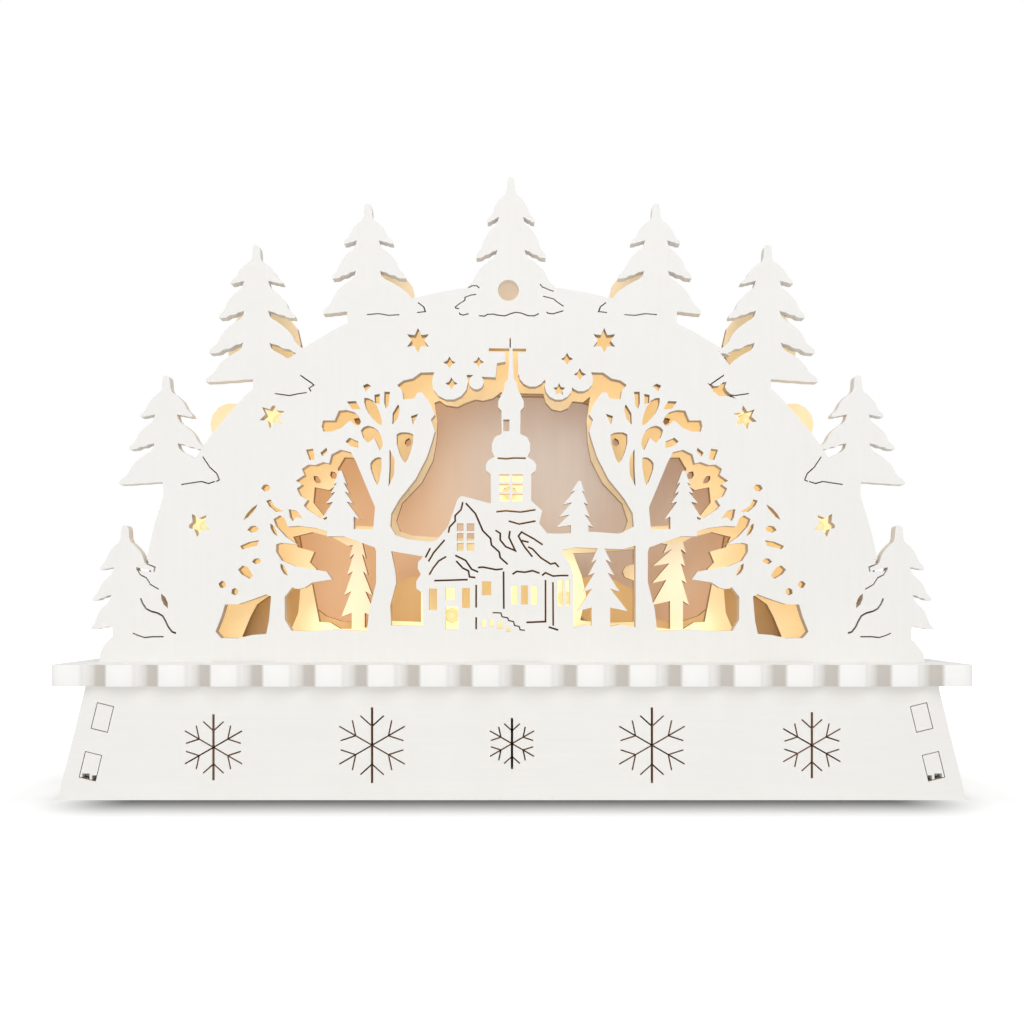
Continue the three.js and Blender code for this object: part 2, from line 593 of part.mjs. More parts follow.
// Middle plate: the lit layer, which carries the LEDs. A post behind the tower holds the highest one
const POST_HALF_WIDTH = 6.5;
const POST_TOP = 76;
const ledPlaces = [
  ...ARCH_LED_ANGLES.map((angle) => [
    LEAD_ARC_RADIUS * Math.cos(THREE.MathUtils.degToRad(angle)),
    LEAD_ARC_RADIUS * Math.sin(THREE.MathUtils.degToRad(angle)),
  ]),
  ...SCENE_LED_PLACES,
];
const middleThicket = [
  [-88.1, 49.6], [-80.4, 51.5], [-72, 49.3], [-66, 46], [-58, 47.4], [-52.4, 45], [-52.4, 14],
  [-62.6, 12.6], [-69.1, 12.6], [-73.1, 15.1], [-77.6, 15.4], [-79.6, 25.9], [-81, 33], [-78.7, 36.6],
  [-81.4, 39.4], [-79.6, 43.6], [-86.1, 45.4],
];
const middlePocket = [[-91.7, 28.7], [-85.2, 28.7], [-86, 19], [-88.4, 13.4], [-91.7, 15]];
const middleCorner = [[-102.6, 22.5], [-97, 26.4], [-92.6, 25], [-93.4, 10.4], [-108.6, 9.4], [-105.3, 17.4]];
const middleMeadow = [
  [-53, 53.6], [-53, 62], [-58, 73], [-62.6, 81.4], [-67.4, 81.6], [-70.2, 77], [-68.4, 72],
  [-73.6, 68.4], [-79.4, 69.6], [-80, 63.4], [-76, 58.4], [-69.6, 54.4],
];
const middleSkyLeft = [
  [-45, 51.8], [-46.6, 56], [-44.4, 63], [-36.4, 71.4], [-31.8, 80.4], [-30.4, 88], [-30, 96],
  [-31.2, 103.6], [-29.1, 104.4], [-26.6, 102.6], [-22, 101.9], [-18.4, 103.6], [-14.6, 104.9],
  [-11.6, 104.4], [-7.6, 105.4], [-4.6, 107.8],
];
const middleSkyRight = [
  [2.6, 107.4], [12.6, 107.2], [13.6, 103.6], [16, 101], [19.4, 100.2], [22.6, 101.4], [24.4, 104.2],
  [28.6, 103.8], [31.4, 106],
];
const middleSky = [
  [-POST_HALF_WIDTH, 48.4], [-40, 50], ...middleSkyLeft, ...middleSkyRight,
  ...mirrored(middleSkyLeft).slice(9), [40, 50], [POST_HALF_WIDTH, 48.4],
  [POST_HALF_WIDTH, POST_TOP], [-POST_HALF_WIDTH, POST_TOP],
].reverse();
const middleChurchSide = [[-48.6, 44], [-36.6, 42], [-36.6, 15.4], [-48.6, 15.8]];
const middleYard = [
  [24.6, 43], [28, 34], [29.8, 26], [27.4, 16], [36, 15], [49, 15.4], [49, 32], [45.4, 33.4], [44.6, 35.6],
  [45.6, 37.6], [49, 38.6], [49, 44.6], [36, 43.4],
];
// Twig gaps of the middle plate as [across, up, length, width, tilt], left half
const middleLeaves = [
  [-78.4, 72.6, 4.2, 2.2, -48], [-71.8, 74.4, 3.8, 2.6, -55], [-41.8, 87.6, 3.6, 2.6, 80],
  [-61.6, 96, 4.6, 2.6, -30],
];
const LED_HOLE_RADIUS = (LED_DIAMETER / 2 + FIT) / Math.cos(Math.PI / LED_SIDES);
const DOWEL_HOLE_RADIUS = DOWEL_DIAMETER / 2 + FIT;

function makeMiddlePlate() {
  const thickness = MIDDLE_PLATE_THICKNESS;
  const cutter = (points) => through(points, thickness);
  const blank = joined([
    extruded(archOutline(() => ARCH_RADIUS), thickness),
    ...bothSides(middleLobes.map((lobe) => circle(...lobe, CLOUD_STEPS)))
      .map((points) => extruded(points, thickness)),
    ...plateTabs(thickness),
  ]);
  const frame = cut(blank, [
    middleSky, middleChurchSide, middleYard,
    ...bothSides([middleThicket, middlePocket, middleCorner, middleMeadow, ...middleLeaves.map(leaf)]),
  ].map(cutter));
  const dressed = joined([
    frame,
    ...LIT_FIRS.map((fir) => extruded(sceneFir(fir), thickness)),
  ]);
  return cut(dressed, [
    ...ledPlaces.map(([x, y]) => cutter(circle(x, y, LED_HOLE_RADIUS, LED_SIDES))),
    ...DOWEL_PLACES.map(([x, y]) => cutter(circle(x, y, DOWEL_HOLE_RADIUS))),
  ]);
}
standUp('middle_plate', makeMiddlePlate(), plates[1], warmWhitePly);

// Rear scene plate: rolling hills under a plain arch
const SCENE_ARCH_RADIUS = ARCH_RADIUS - 1;
const hillOutline = [
  [-86, 42], [-82, 22], [-70, 15.5], [-57, 17], [-49, 30], [-34, 35], [-16, 30], [0, 26], [18, 31],
  [34, 34], [49, 29], [57, 17], [70, 15.5], [82, 22], [86, 42], [88, 60], [83, 78], [70, 92], [54, 100],
  [38, 103], [22, 107], [8, 108], [-8, 108], [-24, 107], [-38, 104], [-54, 99], [-70, 92],
  [-83, 76], [-88, 60],
];

function makeScenePlate() {
  const thickness = SCENE_PLATE_THICKNESS;
  const blank = joined([
    extruded(archOutline(() => SCENE_ARCH_RADIUS, REAR_ARCH_STEPS), thickness),
    ...plateTabs(thickness),
  ]);
  return cut(blank, [
    through(rounded(hillOutline), thickness),
    ...DOWEL_PLACES.map(([x, y]) => through(circle(x, y, DOWEL_HOLE_RADIUS), thickness)),
  ]);
}
standUp('rear_scene_plate', makeScenePlate(), plates[2], tanPly);

// Back panel
standUp('back_panel', joined([
  extruded(archOutline(() => BACK_ARCH_RADIUS, REAR_ARCH_STEPS), BACK_PANEL_THICKNESS),
  ...plateTabs(BACK_PANEL_THICKNESS),
]), plates[3], backPly);

// Spacer dowels, glued between the front plate and the back panel
const DOWEL_FRONT = FRONT_PLATE_FACE + FRONT_PLATE_THICKNESS;
DOWEL_PLACES.forEach(([x, height], index) => {
  const length = BACK_PANEL_FACE - DOWEL_FRONT;
  const geometry = new THREE.CylinderGeometry(DOWEL_DIAMETER / 2, DOWEL_DIAMETER / 2, length, 12);
  geometry.translate(x, DOWEL_FRONT + length / 2, BOARD_TOP + height);
  addPiece(`spacer_dowel_${index + 1}`, solid(geometry), bareWood);
});

// LEDs: domes through the middle plate, with their flanges behind it
const MIDDLE_PLATE_REAR = MIDDLE_PLATE_FACE + MIDDLE_PLATE_THICKNESS;
const LED_FLANGE_FACE = MIDDLE_PLATE_REAR + FIT;
const ledRadius = LED_DIAMETER / 2;
const ledProfile = [
  [0, MIDDLE_PLATE_FACE - LED_PROJECTION],
  [0.7 * ledRadius, MIDDLE_PLATE_FACE - LED_PROJECTION + 0.3 * ledRadius],
  [ledRadius, MIDDLE_PLATE_FACE - LED_PROJECTION + ledRadius],
  [ledRadius, LED_FLANGE_FACE],
  [LED_FLANGE_DIAMETER / 2, LED_FLANGE_FACE],
  [LED_FLANGE_DIAMETER / 2, LED_FLANGE_FACE + LED_FLANGE_THICKNESS],
  [0, LED_FLANGE_FACE + LED_FLANGE_THICKNESS],
];
ledPlaces.forEach(([x, height], index) => {
  const profile = ledProfile.map(([radius, y]) => new THREE.Vector2(radius, y));
  const geometry = new THREE.LatheGeometry(profile, LED_SIDES);
  geometry.translate(x, 0, BOARD_TOP + height);
  addPiece(`led_${index + 1}`, solid(geometry), warmLed);
});

// Leads: round sleeves that run from the battery box past the backs of the LEDs
const LEAD_Y = LED_FLANGE_FACE + LED_FLANGE_THICKNESS + FIT + LEAD_DIAMETER / 2;

function leadSolid(points) {
  const curve = new THREE.CatmullRomCurve3(points.map((point) => new THREE.Vector3(...point)));
  const section = new THREE.Shape(
    circle(0, 0, LEAD_DIAMETER / 2, LEAD_SIDES).map(([x, y]) => new THREE.Vector2(x, y)),
  );
  return solid(new THREE.ExtrudeGeometry(
    section, { steps: LEAD_STEPS, bevelEnabled: false, extrudePath: curve },
  ));
}

// Battery box, hung under the top board
const CELL_SPAN = CELL_LENGTH + CELL_NUB_LENGTH;
const BAY_LENGTH = CELL_SPAN + CONTACT_SPRING_LENGTH + 2 * (CONTACT_THICKNESS + CELL_PLAY);
const BAY_WIDTH = CELL_PITCH + CELL_DIAMETER + 2 * CELL_PLAY;
const BAY_HEIGHT = CELL_DIAMETER + 2 * CELL_PLAY;
const BOX_LENGTH = BAY_LENGTH + SWITCH_BAY_LENGTH + 3 * BOX_WALL;
const BOX_TOP = BASE_HEIGHT;
const BAY_TOP = BOX_TOP - BOX_WALL;
const BAY_FLOOR = BAY_TOP - BAY_HEIGHT;
const COVER_TOP = BAY_FLOOR - FIT;
const COVER_BOTTOM = COVER_TOP - COVER_THICKNESS;
const BOX_BOTTOM = COVER_BOTTOM - FIT - COVER_LIP;
const BOX_LEFT = BOX_CENTRE_X - BOX_LENGTH / 2;
const BOX_RIGHT = BOX_LEFT + BOX_LENGTH;
const BAY_LEFT = BOX_LEFT + BOX_WALL;
const BAY_RIGHT = BAY_LEFT + BAY_LENGTH;
const BAY_FRONT = BOX_CENTRE_Y - BAY_WIDTH / 2;
const BAY_REAR = BOX_CENTRE_Y + BAY_WIDTH / 2;
const SWITCH_BAY_LEFT = BAY_RIGHT + BOX_WALL;
const SWITCH_BAY_RIGHT = BOX_RIGHT - BOX_WALL;
const SWITCH_CENTRE_X = (SWITCH_BAY_LEFT + SWITCH_BAY_RIGHT) / 2;
const SWITCH_BAY_HALF_WIDTH = SWITCH_WIDTH / 2 + FIT;
const BOX_FRONT = BAY_FRONT - BOX_WALL;
const EAR_Y = BOX_FRONT - EAR_WIDTH / 2;
const SCREW_PLACES = [-1, 1].map((side) => BOX_CENTRE_X + side * (BOX_LENGTH / 2 - EAR_LENGTH));
const ARCH_LEAD_EXIT_Z = BASE_HEIGHT - BOX_WALL - LEAD_DROP - LEAD_SPACING;
const SCENE_LEAD_EXIT_Z = ARCH_LEAD_EXIT_Z + LEAD_SPACING;

function upright(radius, from, to, x, y) {
  const geometry = new THREE.CylinderGeometry(radius, radius, to - from, 12);
  geometry.rotateX(Math.PI / 2);
  geometry.translate(x, y, (from + to) / 2);
  return solid(geometry);
}

function makeBatteryBox() {
  const shell = joined([
    block([BOX_LEFT, BOX_FRONT, BOX_BOTTOM], [BOX_RIGHT, BAY_REAR + BOX_WALL, BOX_TOP]),
    ...SCREW_PLACES.map((x) => block(
      [x - EAR_LENGTH / 2, EAR_Y - EAR_WIDTH / 2, BOX_TOP - EAR_THICKNESS],
      [x + EAR_LENGTH / 2, BAY_FRONT, BOX_TOP],
    )),
  ]);
  const channelLeft = BOX_LEFT - CUT_OVERRUN;
  const holeRadius = SCREW_DIAMETER / 2 + FIT;
  return cut(shell, [
    block([BAY_LEFT, BAY_FRONT, BAY_FLOOR - CUT_OVERRUN], [BAY_RIGHT, BAY_REAR, BAY_TOP]),
    block([channelLeft, BAY_FRONT, COVER_BOTTOM - FIT], [BAY_RIGHT, BAY_REAR, BAY_FLOOR]),
    block([channelLeft, BAY_FRONT + COVER_LEDGE, BOX_BOTTOM - CUT_OVERRUN],
      [BAY_RIGHT, BAY_REAR - COVER_LEDGE, BAY_FLOOR]),
    block([SWITCH_BAY_LEFT, BOX_CENTRE_Y - SWITCH_BAY_HALF_WIDTH, BOX_BOTTOM - CUT_OVERRUN],
      [SWITCH_BAY_RIGHT, BOX_CENTRE_Y + SWITCH_BAY_HALF_WIDTH, BAY_TOP]),
    ...SCREW_PLACES.map((x) => upright(
      holeRadius, BOX_TOP - EAR_THICKNESS - CUT_OVERRUN, BOX_TOP + CUT_OVERRUN, x, EAR_Y,
    )),
  ]);
}
addPiece('battery_box', makeBatteryBox(), blackPlastic);

// Battery cover, which slides out to the left between the cells and the box's ledges
const COVER_LEFT = BOX_LEFT;
const COVER_RIGHT = BAY_RIGHT - FIT;
const ribs = [];
for (let i = 0; i < COVER_RIBS; i += 1) {
  const x = COVER_LEFT + COVER_RIB_PITCH * (i + 1);
  ribs.push(block(
    [x, BOX_CENTRE_Y - BAY_WIDTH / 4, COVER_BOTTOM - COVER_RIB_HEIGHT],
    [x + COVER_RIB_PITCH / 2, BOX_CENTRE_Y + BAY_WIDTH / 4, COVER_BOTTOM + COVER_THICKNESS / 2],
  ));
}
addPiece('battery_cover', joined([
  block([COVER_LEFT, BAY_FRONT + FIT, COVER_BOTTOM], [COVER_RIGHT, BAY_REAR - FIT, COVER_TOP]),
  ...ribs,
]), blackPlastic);

// Cells, side by side and turned end for end
const CELL_Z = BAY_TOP - CELL_PLAY - CELL_DIAMETER / 2;
const CELL_ROWS = [BOX_CENTRE_Y - CELL_PITCH / 2, BOX_CENTRE_Y + CELL_PITCH / 2];
const CELL_START = CONTACT_THICKNESS + CELL_PLAY + CONTACT_SPRING_LENGTH;

// Turns a profile of [radius, distance] into a round piece that lies along X
function lathedAlongX(profile, start, direction, y, z) {
  const points = profile.map(([radius, along]) => new THREE.Vector2(radius, along));
  const geometry = new THREE.LatheGeometry(points, 12);
  geometry.rotateZ((-direction * Math.PI) / 2);
  geometry.translate(start, y, z);
  return solid(geometry);
}

const cellRadius = CELL_DIAMETER / 2;
const nubRadius = CELL_NUB_DIAMETER / 2;
const cellProfile = [
  [0, 0], [cellRadius - CELL_EDGE, 0], [cellRadius, CELL_EDGE], [cellRadius, CELL_LENGTH - CELL_EDGE],
  [cellRadius - CELL_EDGE, CELL_LENGTH], [nubRadius, CELL_LENGTH], [nubRadius, CELL_SPAN], [0, CELL_SPAN],
];
addPiece('battery_1',
  lathedAlongX(cellProfile, BAY_LEFT + CELL_START, 1, CELL_ROWS[0], CELL_Z), cellSleeve);
addPiece('battery_2',
  lathedAlongX(cellProfile, BAY_RIGHT - CELL_START, -1, CELL_ROWS[1], CELL_Z), cellSleeve);

// Contacts: sprung ones press on the flat ends of the cells
const springProfile = [
  [0, -CONTACT_THICKNESS / 2], [CONTACT_SPRING_DIAMETER / 2, -CONTACT_THICKNESS / 2],
  [CONTACT_SPRING_DIAMETER / 2, CONTACT_THICKNESS], [nubRadius, CONTACT_SPRING_LENGTH],
  [0, CONTACT_SPRING_LENGTH],
];
const contactHalf = CELL_DIAMETER / 2 - CELL_EDGE;

function contactPlate(fromX, rowFrom, rowTo) {
  return block(
    [fromX, rowFrom - contactHalf, CELL_Z - contactHalf],
    [fromX + CONTACT_THICKNESS, rowTo + contactHalf, CELL_Z + contactHalf],
  );
}

const leftPlate = BAY_LEFT + CONTACT_SEAT;
const rightPlate = BAY_RIGHT - CONTACT_SEAT - CONTACT_THICKNESS;
addPiece('contact_bridge', joined([
  contactPlate(leftPlate, CELL_ROWS[0], CELL_ROWS[1]),
  lathedAlongX(springProfile, leftPlate + CONTACT_THICKNESS, 1, CELL_ROWS[0], CELL_Z),
]), contactMetal);
addPiece('contact_positive', contactPlate(rightPlate, CELL_ROWS[0], CELL_ROWS[0]), contactMetal);
addPiece('contact_negative', joined([
  contactPlate(rightPlate, CELL_ROWS[1], CELL_ROWS[1]),
  lathedAlongX(springProfile, rightPlate, -1, CELL_ROWS[1], CELL_Z),
]), contactMetal);

// Slide switch: a body in its bay and a knob that travels along X
const SWITCH_BOTTOM = BOX_BOTTOM + SWITCH_RECESS;
const slotHalfLength = (KNOB_LENGTH + SWITCH_TRAVEL) / 2 + FIT;
const slotHalfWidth = KNOB_WIDTH / 2 + FIT;
const slotTop = SWITCH_BOTTOM + SWITCH_HEIGHT / 2;
addPiece('switch_body', cut(
  block([SWITCH_CENTRE_X - SWITCH_LENGTH / 2, BOX_CENTRE_Y - SWITCH_WIDTH / 2, SWITCH_BOTTOM],
    [SWITCH_CENTRE_X + SWITCH_LENGTH / 2, BOX_CENTRE_Y + SWITCH_WIDTH / 2,
      SWITCH_BOTTOM + SWITCH_HEIGHT]),
  [block([SWITCH_CENTRE_X - slotHalfLength, BOX_CENTRE_Y - slotHalfWidth, SWITCH_BOTTOM - CUT_OVERRUN],
    [SWITCH_CENTRE_X + slotHalfLength, BOX_CENTRE_Y + slotHalfWidth, slotTop])],
), contactMetal);
const knobLeft = SWITCH_CENTRE_X - (KNOB_LENGTH + SWITCH_TRAVEL) / 2;
const knobBottom = BOX_BOTTOM - KNOB_PROJECTION;
const gripWidth = KNOB_LENGTH / 5;
addPiece('switch_slider', cut(
  block([knobLeft, BOX_CENTRE_Y - KNOB_WIDTH / 2, knobBottom],
    [knobLeft + KNOB_LENGTH, BOX_CENTRE_Y + KNOB_WIDTH / 2, slotTop - FIT]),
  [1, 3].map((step) => block(
    [knobLeft + gripWidth * step, BOX_CENTRE_Y - KNOB_WIDTH, knobBottom - CUT_OVERRUN],
    [knobLeft + gripWidth * (step + 1), BOX_CENTRE_Y + KNOB_WIDTH, knobBottom + gripWidth],
  )),
), whitePaint);

// Screws through the ears of the battery box into the top board
SCREW_PLACES.forEach((x, index) => {
  const headTop = BOX_TOP - EAR_THICKNESS - FIT;
  const shank = SCREW_DIAMETER / 2;
  addPiece(`box_screw_${index + 1}`, joined([
    upright(SCREW_HEAD_DIAMETER / 2, headTop - SCREW_HEAD_HEIGHT, headTop, x, EAR_Y),
    upright(shank, headTop - SCREW_HEAD_HEIGHT / 2, BASE_HEIGHT + SCREW_BITE, x, EAR_Y),
  ]), contactMetal);
});

// Leads
const ARCH_LEAD_END = Math.max(...ARCH_LED_ANGLES) + 2;
const archLeadRoute = [
  [BOX_RIGHT + FIT, LEAD_Y, ARCH_LEAD_EXIT_Z],
  [BOX_RIGHT + LEAD_BEND, LEAD_Y, ARCH_LEAD_EXIT_Z],
  [ARCH_LEAD_RISE_X - LEAD_BEND, LEAD_Y, ARCH_LEAD_EXIT_Z],
  [ARCH_LEAD_RISE_X, LEAD_Y, ARCH_LEAD_EXIT_Z + LEAD_BEND],
  [ARCH_LEAD_RISE_X, LEAD_Y, BASE_HEIGHT - FIT],
  [ARCH_LEAD_RISE_X, LEAD_Y, BOARD_TOP + FIT],
];
const ARC_LEAD_STEP = (ARCH_LEAD_END - 4) / 14;
for (let angle = 4; angle < ARCH_LEAD_END + 1; angle += ARC_LEAD_STEP) {
  const turn = THREE.MathUtils.degToRad(angle);
  archLeadRoute.push([
    LEAD_ARC_RADIUS * Math.cos(turn), LEAD_Y, BOARD_TOP + LEAD_ARC_RADIUS * Math.sin(turn),
  ]);
}
addPiece('arch_lead', leadSolid(archLeadRoute), leadSleeve);

const sceneLeadRoute = [
  [BOX_RIGHT + FIT, LEAD_Y, SCENE_LEAD_EXIT_Z],
  [BOX_RIGHT + LEAD_BEND, LEAD_Y, SCENE_LEAD_EXIT_Z],
  [SCENE_LEAD_RISE_X - LEAD_BEND, LEAD_Y, SCENE_LEAD_EXIT_Z],
  [SCENE_LEAD_RISE_X, LEAD_Y, BASE_HEIGHT - FIT],
  [SCENE_LEAD_RISE_X, LEAD_Y, BOARD_TOP - BOARD_THICKNESS / 2],
  [SCENE_LEAD_RISE_X, LEAD_Y, BOARD_TOP + FIT],
  [SCENE_LEAD_RISE_X - LEAD_BEND, LEAD_Y, BOARD_TOP + LEAD_BEND],
  ...SCENE_LEAD_ROUTE.map(([x, height]) => [x, LEAD_Y, BOARD_TOP + height]),
];
addPiece('scene_lead', leadSolid(sceneLeadRoute), leadSleeve);

// Top board: outline seen from above, with a scalloped front edge
function boardOutline() {
  const halfLength = BOARD_LENGTH / 2;
  const halfDepth = BOARD_DEPTH / 2;
  const points = [];
  const corner = (x, y, from) => {
    for (let i = 0; i <= BOARD_CORNER_STEPS; i += 1) {
      const angle = THREE.MathUtils.degToRad(from + (90 * i) / BOARD_CORNER_STEPS);
      points.push([x + BOARD_CORNER_RADIUS * Math.cos(angle), y + BOARD_CORNER_RADIUS * Math.sin(angle)]);
    }
  };
  const innerX = halfLength - BOARD_CORNER_RADIUS;
  const innerY = halfDepth - BOARD_CORNER_RADIUS;
  corner(-innerX, -innerY, 180);
  const reach = Math.floor((innerX - SCALLOP_WIDTH / 2) / SCALLOP_PITCH);
  for (let i = -reach; i <= reach; i += 1) {
    const centre = i * SCALLOP_PITCH;
    for (let step = 0; step <= SCALLOP_STEPS; step += 1) {
      const share = step / SCALLOP_STEPS;
      const depth = SCALLOP_DEPTH * Math.sin(Math.PI * share) ** 1.3;
      points.push([centre + SCALLOP_WIDTH * (share - 0.5), depth - halfDepth]);
    }
  }
  corner(innerX, -innerY, 270);
  corner(innerX, innerY, 0);
  corner(-innerX, innerY, 90);
  return points;
}

const boardCutDepth = [BASE_HEIGHT - CUT_OVERRUN, BOARD_TOP + CUT_OVERRUN];
const tabSlots = plates.flatMap(({ face, thickness }) => PLATE_TAB_PLACES.map((x) => block(
  [x - PLATE_TAB_WIDTH / 2 - FIT, face - FIT, boardCutDepth[0]],
  [x + PLATE_TAB_WIDTH / 2 + FIT, face + thickness + FIT, boardCutDepth[1]],
)));
addPiece('top_board', cut(extruded(boardOutline(), BOARD_THICKNESS, BASE_HEIGHT), [
  ...tabSlots,
  ...[ARCH_LEAD_RISE_X, SCENE_LEAD_RISE_X].map((x) => upright(
    LEAD_HOLE_DIAMETER / 2, ...boardCutDepth, x, LEAD_Y,
  )),
  ...SCREW_PLACES.map((x) => upright(
    SCREW_DIAMETER / 2 + FIT, boardCutDepth[0], BASE_HEIGHT + SCREW_BITE + FIT, x, EAR_Y,
  )),
]), whitePaint);

// Base box: leaning end panels are tabbed through the front and rear panels
const LEAN = (BASE_FOOT_LENGTH - BASE_TOP_LENGTH) / 2 / BASE_HEIGHT;
const leanLength = Math.hypot(1, LEAN);
const upSlope = [-LEAN / leanLength, 1 / leanLength];
const outward = [1 / leanLength, LEAN / leanLength];
const endMiddleX = BASE_FOOT_LENGTH / 2 - (END_INSET + PANEL_THICKNESS / 2) * leanLength;

// A rectangle that leans with the right hand end panel, centred at a level
function leaningRectangle(level, halfThickness, halfHeight) {
  const middle = [endMiddleX - LEAN * level, level];
  return [[-1, -1], [1, -1], [1, 1], [-1, 1]].map(([across, along]) => [0, 1].map((axis) => (
    middle[axis] + across * halfThickness * outward[axis] + along * halfHeight * upSlope[axis]
  )));
}

const panelOutline = [
  [-BASE_FOOT_LENGTH / 2, 0], [BASE_FOOT_LENGTH / 2, 0],
  [BASE_TOP_LENGTH / 2, BASE_HEIGHT], [-BASE_TOP_LENGTH / 2, BASE_HEIGHT],
];
const endSlots = bothSides(END_TAB_LEVELS.map(
  (level) => leaningRectangle(level, PANEL_THICKNESS / 2 + FIT, END_TAB_HEIGHT / 2 + FIT),
));

// A snowflake: bars along the arms and two short forks on each arm
function snowflakeBars({ x, z, arm }) {
  const bars = [];
  const centre = [0, 0];
  const bar = (from, to, stroke) => {
    const run = [to[0] - from[0], to[1] - from[1]];
    const length = Math.hypot(...run);
    const side = [(-run[1] / length) * stroke / 2, (run[0] / length) * stroke / 2];
    bars.push([
      [x + from[0] - side[0], z + from[1] - side[1]], [x + to[0] - side[0], z + to[1] - side[1]],
      [x + to[0] + side[0], z + to[1] + side[1]], [x + from[0] + side[0], z + from[1] + side[1]],
    ]);
  };
  for (let i = 0; i < SNOWFLAKE_ARMS; i += 1) {
    const angle = Math.PI / 2 + (2 * Math.PI * i) / SNOWFLAKE_ARMS;
    const turned = (across, along) => [
      arm * (along * Math.cos(angle) - across * Math.sin(angle)),
      arm * (along * Math.sin(angle) + across * Math.cos(angle)),
    ];
    const isUpright = i % (SNOWFLAKE_ARMS / 2) === 0;
    bar(centre, turned(0, 1), isUpright ? SNOWFLAKE_UPRIGHT_STROKE : SNOWFLAKE_STROKE);
    [-1, 1].forEach((side) => {
      const forkEnd = turned(side * SNOWFLAKE_FORK_REACH, SNOWFLAKE_FORK_END);
      bar(turned(0, SNOWFLAKE_FORK), forkEnd, SNOWFLAKE_STROKE);
    });
  }
  return bars;
}

const panelCutters = (outlines) => outlines.map((points) => through(points, PANEL_THICKNESS));
const panelBlank = extruded(panelOutline, PANEL_THICKNESS);
const basePanels = [
  ['base_front_panel', -BASE_DEPTH / 2, [...endSlots, ...SNOWFLAKES.flatMap(snowflakeBars)]],
  ['base_rear_panel', BASE_DEPTH / 2 - PANEL_THICKNESS, endSlots],
];
basePanels.forEach(([name, face, cuts]) => {
  const mesh = addPiece(name, cut(panelBlank, panelCutters(cuts)), whitePaint);
  mesh.rotation.x = Math.PI / 2;
  mesh.position.y = face + PANEL_THICKNESS;
});

// End panels lie between the long panels, and their tabs fill the slots
const cornerDrop = (PANEL_THICKNESS / 2) * outward[1];
const endBottom = END_FOOT_CLEARANCE + cornerDrop;
const endTop = BASE_HEIGHT - FIT - cornerDrop;
const endBody = leaningRectangle(
  (endBottom + endTop) / 2, PANEL_THICKNESS / 2, ((endTop - endBottom) / 2) * leanLength,
);
const endDepth = BASE_DEPTH - 2 * PANEL_THICKNESS - 2 * FIT;
[['base_end_right', (points) => points], ['base_end_left', mirrored]].forEach(([name, place]) => {
  const body = joined([
    extruded(place(endBody), endDepth, -endDepth / 2),
    ...END_TAB_LEVELS.map((level) => extruded(
      place(leaningRectangle(level, PANEL_THICKNESS / 2, END_TAB_HEIGHT / 2)), BASE_DEPTH, -BASE_DEPTH / 2,
    )),
  ]);
  const mesh = addPiece(name, body, whitePaint);
  mesh.rotation.x = Math.PI / 2;
});

export default root;
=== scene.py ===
import json
import math

import bpy
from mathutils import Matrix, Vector

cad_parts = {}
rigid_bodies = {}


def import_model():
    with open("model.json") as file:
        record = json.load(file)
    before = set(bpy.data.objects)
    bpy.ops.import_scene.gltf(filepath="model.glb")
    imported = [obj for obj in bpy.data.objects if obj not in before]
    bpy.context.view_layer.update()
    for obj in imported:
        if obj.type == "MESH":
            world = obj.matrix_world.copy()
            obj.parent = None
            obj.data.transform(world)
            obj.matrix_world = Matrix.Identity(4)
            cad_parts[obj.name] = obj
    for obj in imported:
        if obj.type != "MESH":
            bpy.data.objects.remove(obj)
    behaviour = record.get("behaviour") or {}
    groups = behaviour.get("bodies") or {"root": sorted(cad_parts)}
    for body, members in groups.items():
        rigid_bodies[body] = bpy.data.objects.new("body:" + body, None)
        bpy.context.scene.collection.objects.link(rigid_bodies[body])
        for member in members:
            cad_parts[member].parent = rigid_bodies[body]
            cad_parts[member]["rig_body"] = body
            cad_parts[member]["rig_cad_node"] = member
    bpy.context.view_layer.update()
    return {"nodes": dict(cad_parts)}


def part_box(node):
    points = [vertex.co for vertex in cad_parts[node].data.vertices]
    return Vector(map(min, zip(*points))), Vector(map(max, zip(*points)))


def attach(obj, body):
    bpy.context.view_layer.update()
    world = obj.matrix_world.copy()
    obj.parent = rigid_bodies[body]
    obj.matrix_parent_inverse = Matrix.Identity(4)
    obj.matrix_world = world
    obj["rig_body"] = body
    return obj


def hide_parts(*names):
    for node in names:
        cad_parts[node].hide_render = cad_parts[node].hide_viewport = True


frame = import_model()
nodes = frame["nodes"]
MM = 0.001

# Top board: 8 mm plywood with a scalloped front edge, sprayed matt white all over.
# The four standing plates are tabbed and glued into it, and it closes the base box from above.
# Shade is painted into the hollows of the scallops, darkest on the walls that face left, away from the key
# light.
PAINT_WHITE = (0.905, 0.892, 0.862, 1.0)
PAINT_SHADE = (0.868, 0.853, 0.818, 1.0)
PAINT_FRESH = (0.985, 0.980, 0.962, 1.0)
# The next colour is painted shade for the hollows of the scallops
PAINTED_HOLLOW_SHADE = (0.600, 0.562, 0.512, 1.0)
BLACK = (0.0, 0.0, 0.0, 1.0)
GRAIN_ALONG_X = (28.0, 700.0, 700.0)
BOARD_LOW, BOARD_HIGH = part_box("top_board")
BOARD_FRONT, BOARD_END, BOARD_TOP = BOARD_LOW.y, BOARD_HIGH.x, BOARD_HIGH.z
HOLLOWS_START = (BOARD_FRONT + 0.1 * MM, BOARD_FRONT + 0.9 * MM)
HOLLOWS_END = (BOARD_FRONT + 3.6 * MM, BOARD_FRONT + 3.1 * MM)
CORNERS_START = (BOARD_END - 5.5 * MM, BOARD_END - 6.5 * MM)
FINISH_OUTPUTS = [
    ("Color", "NodeSocketColor"), ("Roughness", "NodeSocketFloat"), ("Height", "NodeSocketFloat")]
MEASURES = ("DOT_PRODUCT", "DISTANCE", "LENGTH")


